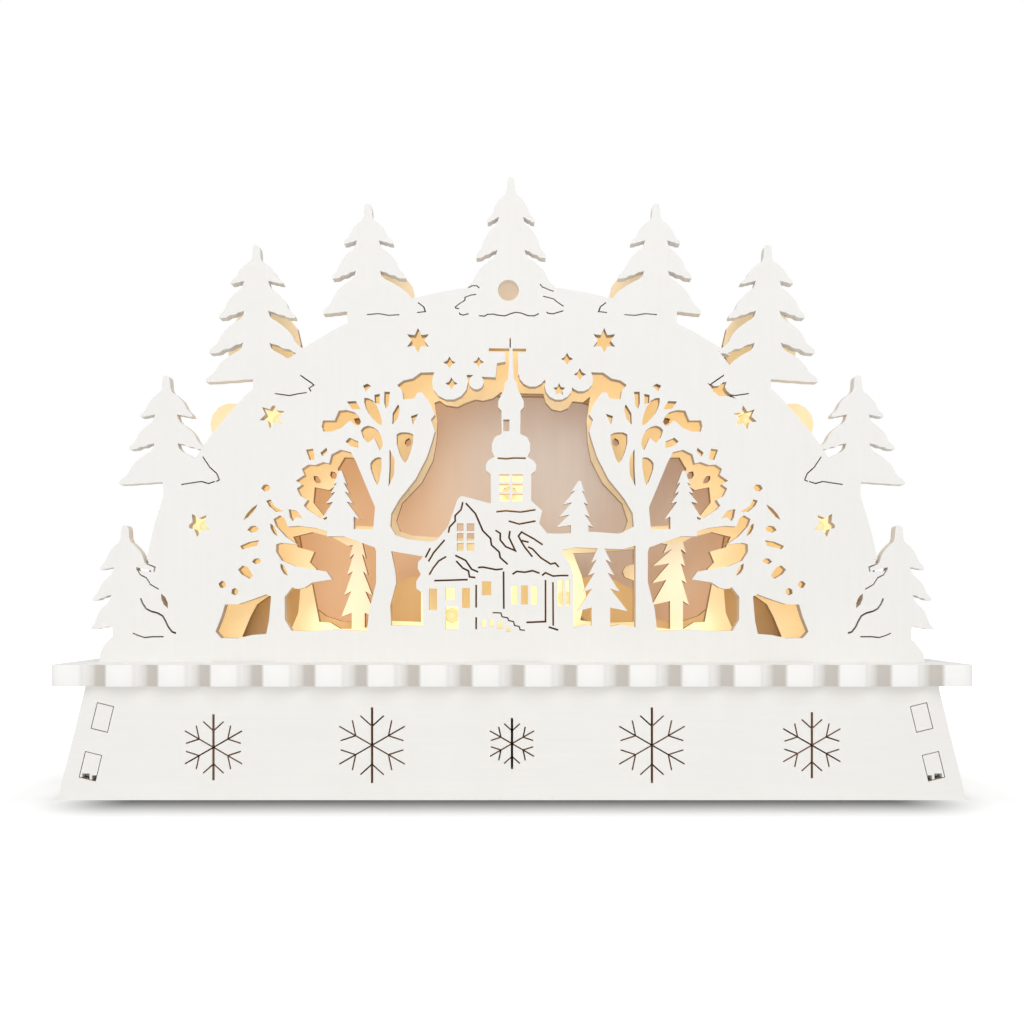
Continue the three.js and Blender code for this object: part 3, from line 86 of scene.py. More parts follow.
def fill(tree, node, values):
    """Sets the sockets of a node, or links them to what other nodes give."""
    for socket, value in dict(values).items():
        if isinstance(value, bpy.types.NodeSocket):
            tree.links.new(value, node.inputs[socket])
        else:
            node.inputs[socket].default_value = value


def place(tree, kind, values=(), **settings):
    """Adds a node, sets its options and fills its sockets."""
    made = tree.nodes.new(kind)
    for option, value in settings.items():
        setattr(made, option, value)
    fill(tree, made, values)
    return made


def number(tree, operation, *values):
    """The result of an operation on numbers."""
    return place(tree, "ShaderNodeMath", enumerate(values), operation=operation).outputs[0]


def vector(tree, operation, *values):
    """The result of an operation on vectors: another vector, or a measure."""
    made = place(tree, "ShaderNodeVectorMath", enumerate(values), operation=operation)
    return made.outputs["Value" if operation in MEASURES else "Vector"]


def multiplied(tree, *factors):
    """The product of several numbers."""
    product = factors[0]
    for factor in factors[1:]:
        product = number(tree, "MULTIPLY", product, factor)
    return product


def ramp(tree, value, start, end, low=0.0, high=1.0):
    """A number that runs from low to high between two levels of another."""
    return place(tree, "ShaderNodeMapRange", {
        "Value": value, "From Min": start, "From Max": end, "To Min": low, "To Max": high}).outputs["Result"]


def blend_colors(tree, amount, first, second):
    """A colour between two others."""
    return place(tree, "ShaderNodeMix", {"Factor": amount, 6: first, 7: second}, data_type="RGBA").outputs[2]


def here(tree, what="Object"):
    """The place of a spot on the surface, or its normal."""
    return place(tree, "ShaderNodeTexCoord").outputs[what]


def axes(tree, what="Object"):
    """X, Y and Z of that place or normal."""
    return place(tree, "ShaderNodeSeparateXYZ", {0: here(tree, what)}).outputs


def noise(tree, scale, detail, spot=None, **more):
    """Random mottling, by place unless another vector is given."""
    values = {"Vector": here(tree) if spot is None else spot, "Scale": scale, "Detail": detail, **more}
    return place(tree, "ShaderNodeTexNoise", values).outputs["Fac"]


def bump(tree, height, strength, distance):
    """The normal of a surface with some relief."""
    return place(tree, "ShaderNodeBump", {
        "Height": height, "Strength": strength, "Distance": distance}).outputs["Normal"]


def effect(name, inputs, outputs):
    """Starts a shared effect: its group, what the group is given, and the node that takes its results."""
    group = bpy.data.node_groups.new(name, "ShaderNodeTree")
    for label, kind, value in inputs:
        group.interface.new_socket(name=label, in_out="INPUT", socket_type=kind).default_value = value
    for label, kind in outputs:
        group.interface.new_socket(name=label, in_out="OUTPUT", socket_type=kind)
    return group, place(group, "NodeGroupInput").outputs, place(group, "NodeGroupOutput")


def shared(tree, group, values=()):
    """The results of a shared effect in a material."""
    return place(tree, "ShaderNodeGroup", values, node_tree=group).outputs


def cut_wall_effect():
    """Tells a cut wall from a face, and finds the glue lines of the ply on it."""
    group, given, result = effect("Cut wall", [
        ("Face Direction", "NodeSocketVector", (0.0, 1.0, 0.0)),
        ("Ply Pitch", "NodeSocketFloat", 1.7 * MM),
        ("Ply Offset", "NodeSocketFloat", 0.0),
    ], [("Wall", "NodeSocketFloat"), ("Glue Line", "NodeSocketFloat")])
    facing = vector(group, "DOT_PRODUCT", here(group, "Normal"), given["Face Direction"])
    wall = ramp(group, number(group, "ABSOLUTE", facing), 0.75, 0.55)
    across = vector(group, "DOT_PRODUCT", here(group), given["Face Direction"])
    wander = number(group, "MULTIPLY_ADD", noise(group, 90.0, 2.0), 0.35 * MM, across)
    depth = number(group, "SUBTRACT", wander, given["Ply Offset"])
    plies = number(group, "DIVIDE", depth, given["Ply Pitch"])
    off_middle = number(group, "ABSOLUTE", number(group, "SUBTRACT", number(group, "FRACT", plies), 0.5))
    line = ramp(group, off_middle, 0.10, 0.03)
    fill(group, result, {"Wall": wall, "Glue Line": multiplied(group, line, wall)})
    return group


def sprayed_paint_effect():
    """White spray paint on wood: soft mottling, faint long grain and a fine orange peel."""
    group, given, result = effect("Sprayed paint", [
        ("Grain Direction", "NodeSocketVector", (30.0, 600.0, 600.0))], FINISH_OUTPUTS)
    stretched = vector(group, "MULTIPLY", here(group), given["Grain Direction"])
    grain = noise(group, 1.0, 5.0, stretched, Roughness=0.55)
    tone = ramp(group, multiplied(group, noise(group, 26.0, 3.0), grain), 0.12, 0.42, 0.6, 0.0)
    peel = noise(group, 1100.0, 2.0)
    fill(group, result, {
        "Color": blend_colors(group, tone, PAINT_WHITE, PAINT_SHADE),
        "Roughness": ramp(group, grain, 0.3, 0.7, 0.55, 0.70),
        "Height": number(group, "MULTIPLY_ADD", peel, 0.3, multiplied(group, grain, 0.7))})
    return group


CUT_WALL = cut_wall_effect()
SPRAYED_PAINT = sprayed_paint_effect()


def new_surface(name):
    """A fresh material with its tree and its Principled shader."""
    material = bpy.data.materials.new(name)
    material.use_nodes = True
    return material, material.node_tree, material.node_tree.nodes["Principled BSDF"]


def spray(tree, shader, paint, color, light=BLACK):
    """Gives a shader the gloss and relief of the paint, a colour, and some light that it gives back."""
    fill(tree, shader, {
        "Base Color": color, "Roughness": paint["Roughness"], "Specular IOR Level": 0.3,
        "Emission Color": light, "Emission Strength": 1.0,
        "Normal": bump(tree, paint["Height"], 0.25, 0.15 * MM)})


def board_paint():
    """White paint with shade painted into the hollows, most of all on the side that is turned from the
    light.
    """
    material, tree, shader = new_surface("board_paint")
    paint = shared(tree, SPRAYED_PAINT, {"Grain Direction": GRAIN_ALONG_X})
    spot = axes(tree)
    # Painted shade in the scallop hollows, deepest on the walls that face away from the key light
    painted_hollow_shade = multiplied(
        tree, shared(tree, CUT_WALL, {"Face Direction": (0.0, 0.0, 1.0)})["Wall"],
        ramp(tree, spot["Y"], *HOLLOWS_START), ramp(tree, spot["Y"], *HOLLOWS_END),
        ramp(tree, axes(tree, "Normal")["X"], 0.55, -0.10, 0.10, 1.0),
        ramp(tree, number(tree, "ABSOLUTE", spot["X"]), *CORNERS_START))
    fresh = blend_colors(tree, 0.8, paint["Color"], PAINT_FRESH)
    spray(tree, shader, paint, blend_colors(tree, painted_hollow_shade, fresh, PAINTED_HOLLOW_SHADE))
    return material


def deselect():
    """Operators act on the whole selection, so it is cleared first."""
    if bpy.context.object and bpy.context.object.mode != "OBJECT":
        close_mesh()
    bpy.ops.object.select_all(action="DESELECT")


def choose(piece):
    """Makes a piece the only one that the next operators act on."""
    deselect()
    piece.select_set(True)
    bpy.context.view_layer.objects.active = piece


def open_mesh():
    """Opens the active piece for editing, with its whole mesh selected."""
    bpy.ops.object.mode_set(mode="EDIT")
    bpy.ops.mesh.select_all(action="SELECT")


def close_mesh():
    """Ends the editing."""
    bpy.ops.object.mode_set(mode="OBJECT")


def modified(piece, kind, **settings):
    """Applies one modifier to a piece."""
    step = piece.modifiers.new(kind, kind)
    for option, value in settings.items():
        setattr(step, option, value)
    choose(piece)
    bpy.ops.object.modifier_apply(modifier=step.name)


def copy_of_node(node, name):
    """A copy of a CAD node with its loose triangles merged, to be worked on."""
    piece = nodes[node].copy()
    piece.data = nodes[node].data.copy()
    piece.name = piece.data.name = name
    piece.parent = None
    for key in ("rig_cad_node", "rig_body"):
        if key in piece:
            del piece[key]
    bpy.context.scene.collection.objects.link(piece)
    choose(piece)
    open_mesh()
    bpy.ops.mesh.remove_doubles(threshold=0.002 * MM)
    close_mesh()
    return piece


def finish_piece(piece, node, material, body="arch"):
    """Dresses a new piece, and puts it in the place of a CAD node."""
    piece.data.materials.clear()
    piece.data.materials.append(material)
    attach(piece, body)
    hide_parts(node)


def eased(node, name, width):
    """A copy of a CAD node with its triangles joined to flat faces and its edges rounded."""
    piece = copy_of_node(node, name)
    open_mesh()
    bpy.ops.mesh.dissolve_limited(angle_limit=math.radians(0.5))
    close_mesh()
    modified(piece, "BEVEL", width=width, segments=2, limit_method="ANGLE", angle_limit=math.radians(50))
    bpy.ops.object.shade_smooth_by_angle(angle=math.radians(31))
    return piece


finish_piece(eased("top_board", "scalloped_board", 0.35 * MM), "top_board", board_paint())

# Base box: front and rear panels of 6 mm plywood, cut by laser and sprayed white.
# Two leaning end panels are glued between them, and their tabs fill the slots flush.
# Snowflakes are cut right through the front panel, so that they read as thin brown lines.
SCORCHED_PLY = (0.300, 0.170, 0.085, 1.0)
GLUE_LINE = (0.110, 0.060, 0.032, 1.0)
SEEPING_LIGHT = (0.070, 0.036, 0.018, 1.0)
SNOWFLAKES_END = 136 * MM
PANEL_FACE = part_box("base_front_panel")[0].y
PLY = (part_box("base_front_panel")[1].y - PANEL_FACE) / 3


def painted_ply(name, face, grain, ply_offset, scorch):
    """White sprayed plywood, whose cut walls show some scorched wood through the paint.
    Narrow cuts let a trace of brown light through from behind."""
    material, tree, shader = new_surface(name)
    paint = shared(tree, SPRAYED_PAINT, {"Grain Direction": grain})
    wall = shared(tree, CUT_WALL, {"Face Direction": face, "Ply Pitch": PLY, "Ply Offset": ply_offset})
    amount = multiplied(tree, wall["Wall"], scorch)
    browned = blend_colors(tree, amount, paint["Color"], SCORCHED_PLY)
    lined = multiplied(tree, wall["Glue Line"], min(1.0, 1.6 * scorch))
    off_centre = number(tree, "ABSOLUTE", axes(tree)["X"])
    seeping = multiplied(tree, amount, ramp(tree, off_centre, SNOWFLAKES_END + 2 * MM, SNOWFLAKES_END))
    spray(tree, shader, paint, blend_colors(tree, lined, browned, GLUE_LINE),
          blend_colors(tree, seeping, BLACK, SEEPING_LIGHT))
    return material


def dress(node, material):
    """Gives a CAD node its finish."""
    nodes[node].data.materials.clear()
    nodes[node].data.materials.append(material)


front_panel_paint = painted_ply("panel_paint", (0.0, 1.0, 0.0), GRAIN_ALONG_X, PANEL_FACE, 0.75)
for panel in ("base_front_panel", "base_rear_panel"):
    dress(panel, front_panel_paint)


def combined(piece, tool, operation="DIFFERENCE", crossed=False):
    """Takes a tool's solid out of a piece or joins it to it, and clears the tool away."""
    modified(piece, "BOOLEAN", operation=operation, solver="EXACT", use_self=crossed, object=tool)
    bpy.data.objects.remove(tool)


def block_at(centre, size):
    """A plain box, shaped in edit mode so that its object stays at the origin."""
    deselect()
    bpy.ops.mesh.primitive_cube_add(size=1.0)
    open_mesh()
    bpy.ops.transform.resize(value=size)
    bpy.ops.transform.translate(value=centre)
    close_mesh()
    return bpy.context.object


# The lower tabs are a little short, which leaves a dark gap under each, on both sides of a nib
TAB_FEET = (Vector((156.2 * MM, PANEL_FACE, 8.0 * MM)), Vector((159.9 * MM, PANEL_FACE, 8.7 * MM)))
TAB_GAP = Vector((2.9 * MM, 9.0 * MM, 2.6 * MM))
end_panel_paint = painted_ply("end_panel_paint", (0.97, 0.0, 0.24), (700.0, 28.0, 700.0), 0.0, 0.0)
for panel, side in (("base_end_right", 1), ("base_end_left", -1)):
    board = copy_of_node(panel, f"{panel}_board")
    for foot in TAB_FEET:
        combined(board, block_at((side * foot.x, foot.y, foot.z), TAB_GAP))
    finish_piece(board, panel, end_panel_paint)

# Front plate: 5 mm plywood fretwork with firs on the rim, a church, bare trees and clouds.
# It is sprayed white from the front, and the deep walls of its openings stay scorched. Their brown is partly
# real scorch, partly painted shade at the rim and painted warm light inside.
# The laser also draws fine kerf lines, which are burnt most of the way through the plate.
FRONT_LOW, FRONT_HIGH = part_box("front_plate")
PLATE_FACE = FRONT_LOW.y
PLATE_THICKNESS = FRONT_HIGH.y - FRONT_LOW.y
PLATE_GRAIN = (700.0, 700.0, 34.0)
KERF_WIDTH = 0.50 * MM
BROAD_KERF_WIDTH = 0.72 * MM
KERF_DEPTH = 3.2 * MM
KERF_LEAD_IN = 1.0 * MM

# Kerf lines in millimetres: across from the centre, and up from the top of the board.
# Those of the rim firs are drawn for the left half and flipped to the right.
rim_kerfs = [
    [(-36.7, 140.2), (-34.5, 138.6), (-33.8, 136.7), (-37.1, 136.3)],
    [(-56.6, 135.5), (-52.0, 135.9), (-48.0, 135.2), (-43.9, 135.5)],
    [(-82.7, 111.9), (-78.2, 108.8), (-77.3, 108.0), (-79.2, 106.8), (-78.4, 105.5)],
    [(-92.5, 104.7), (-86.8, 103.9), (-83.6, 104.6), (-80.0, 105.1)],
    [(-120.7, 80.1), (-117.9, 75.9), (-115.2, 73.5), (-114.2, 71.0), (-115.4, 70.4)],
    [(-115.9, 70.4), (-118.4, 69.6), (-121.3, 70.4), (-129.1, 69.2)],
    [(-143.8, 41.0), (-143.2, 39.2), (-142.5, 38.2), (-140.4, 37.4), (-139.3, 36.9), (-139.7, 35.2)],
    [(-140.8, 35.4), (-144.5, 35.8), (-146.2, 35.8), (-144.9, 33.9), (-142.7, 32.8), (-141.7, 31.3),
     (-141.1, 30.2), (-137.8, 28.3)],
    [(-147.9, 11.2), (-145.6, 10.2), (-143.4, 9.5), (-140.4, 9.8), (-135.9, 9.8)],
]
rim_slits = [
    [(-144.9, 24.8), (-144.1, 22.7), (-142.7, 20.7), (-140.8, 19.7), (-138.2, 19.0), (-136.3, 17.9),
     (-135.0, 15.6), (-134.2, 13.8), (-132.6, 11.7), (-131.1, 11.2)],
]
top_fir_kerfs = [
    [(-17.0, 146.0), (-15.5, 146.8), (-13.8, 146.8), (-12.7, 145.9)],
    [(10.9, 147.4), (11.9, 146.3), (14.7, 145.1), (16.3, 144.6)],
    [(-13.9, 143.4), (-15.8, 143.2), (-18.3, 142.3), (-18.4, 141.1), (-20.6, 139.7), (-22.1, 138.5),
     (-21.9, 138.0), (-20.6, 137.8)],
    [(-20.6, 136.3), (-20.2, 135.6), (-19.0, 135.3), (-16.9, 135.9)],
    [(-12.9, 135.1), (-10.7, 134.9), (-9.6, 135.6), (-7.2, 135.7), (-5.7, 135.3), (-2.7, 135.0),
     (-0.5, 135.9), (1.4, 136.4), (3.6, 136.1), (6.2, 135.1), (8.7, 135.0), (10.5, 135.9)],
    [(12.1, 142.7), (14.1, 142.2), (16.3, 141.6), (17.4, 140.6), (20.2, 138.7)],
    [(13.5, 136.5), (14.1, 136.0), (16.0, 135.8), (17.3, 136.2), (20.0, 137.0)],
]
stair_kerfs = [
    [(-0.7, 122.6), (-0.7, 126.5)],
    [(-7.6, 19.2), (-4.3, 19.1), (-3.9, 17.6), (-1.7, 17.2), (-1.3, 16.1), (0.6, 15.7), (1.0, 14.2),
     (2.8, 13.8), (3.2, 12.5), (5.1, 12.3)],
]
church_kerfs = [
    [(-5.6, 79.5), (-2.0, 79.3), (1.0, 79.6), (5.4, 79.5)],
    [(-6.1, 58.6), (-2.4, 59.0), (3.4, 58.5), (9.2, 59.4)],
    [(-1.3, 55.0), (2.8, 53.8), (9.2, 55.0)],
    [(-33.8, 40.7), (-31.9, 44.4)],
    [(-32.6, 39.2), (-30.6, 42.6), (-26.3, 47.6)],
    [(-32.3, 34.0), (-30.8, 36.6), (-28.6, 39.4), (-25.7, 41.1)],
    [(-30.4, 31.7), (-17.3, 32.1)],
    [(-22.2, 41.6), (-18.1, 39.6), (-15.8, 36.2), (-13.2, 35.1)],
    [(-21.8, 39.4), (-19.2, 36.6), (-17.0, 35.5), (-16.6, 33.2), (-14.3, 32.9)],
    [(-13.3, 36.8), (-11.4, 37.0), (-6.2, 36.0), (-3.6, 36.3)],
    [(-6.5, 51.4), (-4.6, 50.2), (-4.6, 47.6), (-2.5, 45.0), (1.3, 43.4), (0.2, 45.7), (-1.2, 48.6),
     (-0.8, 51.2)],
    [(12.0, 45.7), (8.4, 48.1), (3.7, 50.7), (2.5, 49.1), (3.5, 47.2), (5.1, 44.6), (8.0, 41.0)],
    [(3.7, 47.4), (6.5, 46.7)],
    [(6.3, 44.9), (8.0, 44.1), (11.3, 40.6), (15.1, 38.2), (16.9, 38.6), (18.3, 37.0)],
    [(0.2, 34.2), (1.8, 35.3), (5.1, 35.0), (8.0, 35.6), (10.8, 34.6)],
    [(11.7, 33.7), (13.1, 34.8), (16.0, 33.5), (19.0, 33.7), (22.1, 33.7)],
    [(-14.0, 30.1), (-14.0, 21.2)],
    [(-14.0, 17.4), (-14.0, 12.7)],
    [(13.1, 32.0), (13.1, 15.7), (5.6, 15.4)],
    [(16.0, 31.1), (16.1, 14.1)],
    [(14.3, 13.6), (18.1, 12.4)],
    [(-24.8, 50.4), (-24.4, 52.6), (-22.2, 54.9), (-22.2, 57.1), (-19.9, 59.4), (-19.2, 62.4)],
    [(-18.1, 62.0), (-14.3, 57.9), (-11.4, 51.2), (-8.4, 48.2), (-8.0, 45.6), (-5.0, 42.9),
     (-4.6, 40.7), (-1.7, 38.1)],
    [(-3.3, 35.3), (-3.2, 20.7)],
]


def traced(start, steps):
    """A new piece of edges that run on from a start, step by step, left open for editing."""
    deselect()
    bpy.ops.mesh.primitive_plane_add(size=MM)
    open_mesh()
    bpy.ops.mesh.merge(type="CENTER")
    bpy.ops.transform.translate(value=start)
    for step in steps:
        bpy.ops.mesh.extrude_region_move(TRANSFORM_OT_translate={"value": step})
    bpy.ops.mesh.select_all(action="SELECT")
    return bpy.context.object


def drawn_line(points, depth):
    """Edges along a line across the plate, at a depth behind its face, left open for editing."""
    steps = [((x1 - x0) * MM, 0.0, (z1 - z0) * MM) for (x0, z0), (x1, z1) in zip(points, points[1:])]
    return traced((points[0][0] * MM, PLATE_FACE + depth, BOARD_TOP + points[0][1] * MM), steps)


def pushed_back(distance):
    """Extrudes the selection away from the viewer, and ends the editing."""
    bpy.ops.mesh.extrude_region_move(TRANSFORM_OT_translate={"value": (0.0, distance, 0.0)})
    close_mesh()


def kerf_cutter(points, width):
    """A thin wall that stands through the plate's face along one kerf line."""
    cutter = drawn_line(points, -KERF_LEAD_IN)
    pushed_back(KERF_LEAD_IN + KERF_DEPTH)
    modified(cutter, "SOLIDIFY", thickness=width, offset=0.0, use_even_offset=True)
    return cutter


def flipped(lines):
    """The same lines on the other side of the arch."""
    return [[(-x, up) for x, up in line] for line in lines]


def united(solids):
    """Several objects joined to one."""
    deselect()
    for solid in solids:
        solid.select_set(True)
    bpy.context.view_layer.objects.active = solids[0]
    bpy.ops.object.join()
    return solids[0]


def cut_kerfs(piece, fine_lines, broad_lines):
    """Burns all the kerf lines into a plate in one cut."""
    cutters = [kerf_cutter(points, KERF_WIDTH) for points in fine_lines]
    cutters += [kerf_cutter(points, BROAD_KERF_WIDTH) for points in broad_lines]
    combined(piece, united(cutters), crossed=True)


# Firs on the rim in millimetres: trunk line, tip, half width and foot of the trunk. Their tiers
# follow from the top down: reach to the left and right, level of the tips, rise of the underside
# towards the trunk, and half width of the wood between the notches.
rim_firs = [
    (-151.0, 53.2, 5.0, 6.0, [
        (9.7, 9.7, 36.0, 1.0, 4.2), (12.6, 12.6, 24.0, 2.4, 5.2), (13.4, 13.4, 12.6, 1.4, 5.0)]),
    (-135.0, 111.7, 1.0, 62.0, [
        (10.0, 10.4, 95.6, 1.0, 4.2), (14.4, 15.0, 82.9, 2.6, 4.4), (18.4, 20.6, 69.2, 1.0, 1.0)]),
    (-99.8, 162.6, 0.6, 96.0, [
        (10.0, 10.4, 147.6, 1.2, 4.6), (14.6, 15.2, 134.2, 3.0, 4.5),
        (18.4, 19.0, 120.4, 4.4, 5.0), (19.8, 20.4, 109.2, 1.2, 0.6)]),
    (-56.2, 178.8, 8.0, 124.0, [
        (9.4, 9.8, 163.2, 1.4, 4.2), (14.0, 14.8, 149.6, 3.2, 4.6), (17.6, 22.6, 135.8, 1.0, 8.0)]),
]
centre_fir = (-0.4, 189.0, 14.0, 130.0, [
    (9.2, 9.2, 171.6, 2.2, 4.6), (13.6, 13.6, 157.6, 3.4, 5.2), (17.8, 17.8, 144.6, 1.0, 14.0)])
rim_roots = [
    [(-134, 71), (-138.4, 57), (-140.4, 50), (-142.6, 40), (-126, 40), (-126, 71)],
    [(-150, 5), (-150, 36), (-142, 35), (-136, 5)],
    [(-101, 100), (-88, 100), (-88, 112), (-101, 111)],
]
FIR_LEADER = ((0.8, 0.0), (1.5, 1.2), (1.7, 6.0))
BRANCH_SLOPE = ((0.30, 0.17), (0.60, 0.43), (0.74, 0.72), (0.94, 0.86), (1.0, 0.95), (0.99, 1.01))
BRANCH_UNDERSIDE = ((0.10, 0.0), (0.30, 0.05), (0.42, 0.38), (0.62, 0.42), (0.76, 0.76), (0.93, 0.84))
NOTCH_DROP = 2.9
NOTCH_SLANT = 0.9
TIP_ROUNDING = 25
RING_RADIUS = 147.15
RING_SIDES = 192
TRIM_FOOT = 11.5
TRIM_REACH = 200.0
KNOT = (-1.4, 145.0, 4.1)
KNOT_SIDES = 32
DRILL_SPAN = (FRONT_LOW.y - 5 * MM, FRONT_HIGH.y + 5 * MM)


def fir_side(fir, side):
    """One side of a fir from the tip down: drooping, round-ended branches over blunt notches."""
    axis, tip, trunk, foot, tiers = fir
    points = [(across, tip - down) for across, down in FIR_LEADER]
    for left, right, level, rise, notch in tiers:
        reach = right if side > 0 else left
        inner, above = points[-1]
        points += [(inner + out * (reach - inner), above - down * (above - level))
                   for out, down in BRANCH_SLOPE]
        points += [(reach - back * (reach - notch), level + up * rise) for back, up in BRANCH_UNDERSIDE]
        points += [(notch, level + rise), (notch + NOTCH_SLANT, level + rise - NOTCH_DROP)]
    points[-1] = (trunk, foot)
    return [(axis + side * across, height) for across, height in points]


def plate_solid(outline, rounding=0):
    """A solid of an outline as thick as the plate, its corners blunted by a share of the sides."""
    solid = drawn_line(outline, 0.0)
    bpy.ops.mesh.edge_face_add()
    if rounding:
        bpy.ops.mesh.bevel(affect="VERTICES", offset_type="PERCENT", offset_pct=rounding)
        bpy.ops.mesh.select_all(action="SELECT")
    pushed_back(PLATE_THICKNESS)
    return solid


def whole_fir(fir):
    """The solid of one fir."""
    return plate_solid(fir_side(fir, -1)[::-1] + fir_side(fir, 1), TIP_ROUNDING)


def round_block(across, up, radius, sides, near, far):
    """A cylinder square to the plates, between two depths."""
    deselect()
    bpy.ops.mesh.primitive_cylinder_add(
        vertices=sides, radius=radius * MM, depth=far - near,
        location=(across * MM, (near + far) / 2, BOARD_TOP + up * MM), rotation=(math.radians(90), 0.0, 0.0))
    return bpy.context.object


def clear_rim(piece):
    """Clears the plain firs off the rim of the fretwork."""
    middle = (0.0, (FRONT_LOW.y + FRONT_HIGH.y) / 2, BOARD_TOP + (TRIM_FOOT + TRIM_REACH) / 2 * MM)
    size = (2 * TRIM_REACH * MM, 1.6 * PLATE_THICKNESS, (TRIM_REACH - TRIM_FOOT) * MM)
    outside = block_at(middle, size)
    combined(outside, round_block(0.0, 0.0, RING_RADIUS, RING_SIDES, *DRILL_SPAN))
    combined(piece, outside)


def regrow_firs(piece):
    """Sets the drawn firs on the rim: those of the left half, their mirror images and the top one."""
    left_half = united([whole_fir(fir) for fir in rim_firs] + [plate_solid(root) for root in rim_roots])
    bpy.ops.object.duplicate()
    right_half = bpy.context.object
    open_mesh()
    bpy.ops.transform.mirror(constraint_axis=(True, False, False), center_override=(0.0, 0.0, 0.0))
    close_mesh()
    firs = united([left_half, right_half, whole_fir(centre_fir)])
    open_mesh()
    bpy.ops.mesh.normals_make_consistent(inside=False)
    close_mesh()
    combined(piece, firs, "UNION", crossed=True)
    combined(piece, round_block(*KNOT, KNOT_SIDES, *DRILL_SPAN))


fretwork = copy_of_node("front_plate", "front_fretwork")
clear_rim(fretwork)
regrow_firs(fretwork)
cut_kerfs(fretwork, rim_kerfs + flipped(rim_kerfs) + top_fir_kerfs + stair_kerfs,
          rim_slits + flipped(rim_slits) + church_kerfs)

# The warm light of the LEDs falls on every layer of the arch, so it is a shared effect.
# These radii say where it is screened, and where the cut walls turn tan and start to be lit.
ARCH_CENTRE = (0.0, 0.0, BOARD_TOP)
GLOW_SCREENED, GLOW_OPEN = RING_RADIUS * MM, 141 * MM
WALLS_WHITE, WALLS_TAN = 142 * MM, 132 * MM
WALLS_DARK, WALLS_LIT = 134 * MM, 131 * MM
BURN_EDGE, BURN_CORE = 0.4 * MM, 0.1 * MM
LIT_WALL = (0.42, 0.25, 0.07, 1.0)
LEDS = [f"led_{number_of_led}" for number_of_led in range(1, 11)]


def corners(node):
    """The low and the high corner of a node's box, and its middle."""
    low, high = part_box(node)
    return low, high, (low + high) / 2


def apart(tree, centre):
    """How far a spot is from a centre, in the plane of the plates."""
    return vector(tree, "DISTANCE", vector(tree, "MULTIPLY", here(tree), (1.0, 0.0, 1.0)), centre)


def led_glow_effect():
    """A mask that is strongest round each dome and fades over a few centimetres."""
    group, given, result = effect("LED glow", [
        ("Reach", "NodeSocketFloat", 22.0 * MM)], [("Glow", "NodeSocketFloat")])
    total = 0.0
    for led in LEDS:
        centre = corners(led)[2]
        share = number(group, "DIVIDE", apart(group, (centre.x, 0.0, centre.z)), given["Reach"])
        fading = number(group, "ADD", number(group, "POWER", share, 2.0), 1.0)
        total = number(group, "ADD", total, number(group, "DIVIDE", 1.0, fading))
    screened = ramp(group, apart(group, ARCH_CENTRE), GLOW_SCREENED, GLOW_OPEN, 0.50, 1.0)
    fill(group, result, {"Glow": multiplied(group, total, screened)})
    return group


LED_GLOW = led_glow_effect()


def fretwork_paint():
    """White face, scorched kerfs, and cut walls that turn from white at the rim to tan inside: partly
    scorch, partly painted warm light.
    """
    material, tree, shader = new_surface("fretwork_paint")
    paint = shared(tree, SPRAYED_PAINT, {"Grain Direction": PLATE_GRAIN})
    wall = shared(tree, CUT_WALL, {"Ply Pitch": PLATE_THICKNESS / 3, "Ply Offset": PLATE_FACE})["Wall"]
    out = apart(tree, ARCH_CENTRE)
    # Browning of the cut walls: partly scorch, partly painted shade at the rim and painted warm light
    # towards the middle
    inside = ramp(tree, out, WALLS_WHITE, WALLS_TAN, 0.10, 0.55)
    browned = blend_colors(tree, multiplied(tree, wall, inside), paint["Color"], SCORCHED_PLY)
    depth = axes(tree)["Y"]
    kerf_floor = PLATE_FACE + KERF_DEPTH
    burnt = multiplied(tree, ramp(tree, depth, kerf_floor - BURN_EDGE, kerf_floor - BURN_CORE),
                       ramp(tree, depth, kerf_floor + BURN_EDGE, kerf_floor + BURN_CORE),
                       number(tree, "SUBTRACT", 1.0, wall))
    glow = shared(tree, LED_GLOW, {"Reach": 14 * MM})["Glow"]
    lit_wall = multiplied(tree, ramp(tree, glow, 0.30, 1.4), wall, ramp(tree, out, WALLS_DARK, WALLS_LIT))
    spray(tree, shader, paint, blend_colors(tree, burnt, browned, GLUE_LINE),
          blend_colors(tree, lit_wall, BLACK, LIT_WALL))
    return material


finish_piece(fretwork, "front_plate", fretwork_paint())

# Middle plate: 4 mm bare plywood behind the fretwork, which the LEDs light to a pale yellow.
# It is tabbed into the board and carries the LEDs in drilled holes. Between the firs it shows pale.
LIT_PLY_LIGHT = (0.940, 0.820, 0.640, 1.0)
LIT_PLY_DARK = (0.890, 0.740, 0.530, 1.0)
CREAM_LIGHT = (0.300, 0.300, 0.250, 1.0)
DIM_LIGHT = (0.160, 0.080, 0.020, 1.0)
CREST_LIGHT = (0.125, 0.128, 0.170, 1.0)
SKY_DIM, SKY_BRIGHT = 46 * MM, 56 * MM


def plywood_grain_effect():
    """Rotary cut veneer: long wavy figure, fine pores and a slow change of tone."""
    group, given, result = effect("Plywood grain", [
        ("Stretch", "NodeSocketVector", PLATE_GRAIN),
        ("Light", "NodeSocketColor", LIT_PLY_LIGHT),
        ("Dark", "NodeSocketColor", LIT_PLY_DARK),
    ], FINISH_OUTPUTS)
    stretched = vector(group, "MULTIPLY", here(group), given["Stretch"])
    figure = noise(group, 0.16, 4.0, stretched, Distortion=0.8)
    pores = noise(group, 1.6, 3.0, stretched)
    veined = number(group, "MULTIPLY_ADD", pores, 0.35, figure)
    mottled = number(group, "MULTIPLY_ADD", noise(group, 18.0, 2.0), 0.5, veined)
    fill(group, result, {
        "Color": blend_colors(group, ramp(group, mottled, 0.7, 1.2), given["Light"], given["Dark"]),
        "Roughness": ramp(group, pores, 0.3, 0.7, 0.6, 0.8), "Height": pores})
    return group


PLYWOOD_GRAIN = plywood_grain_effect()


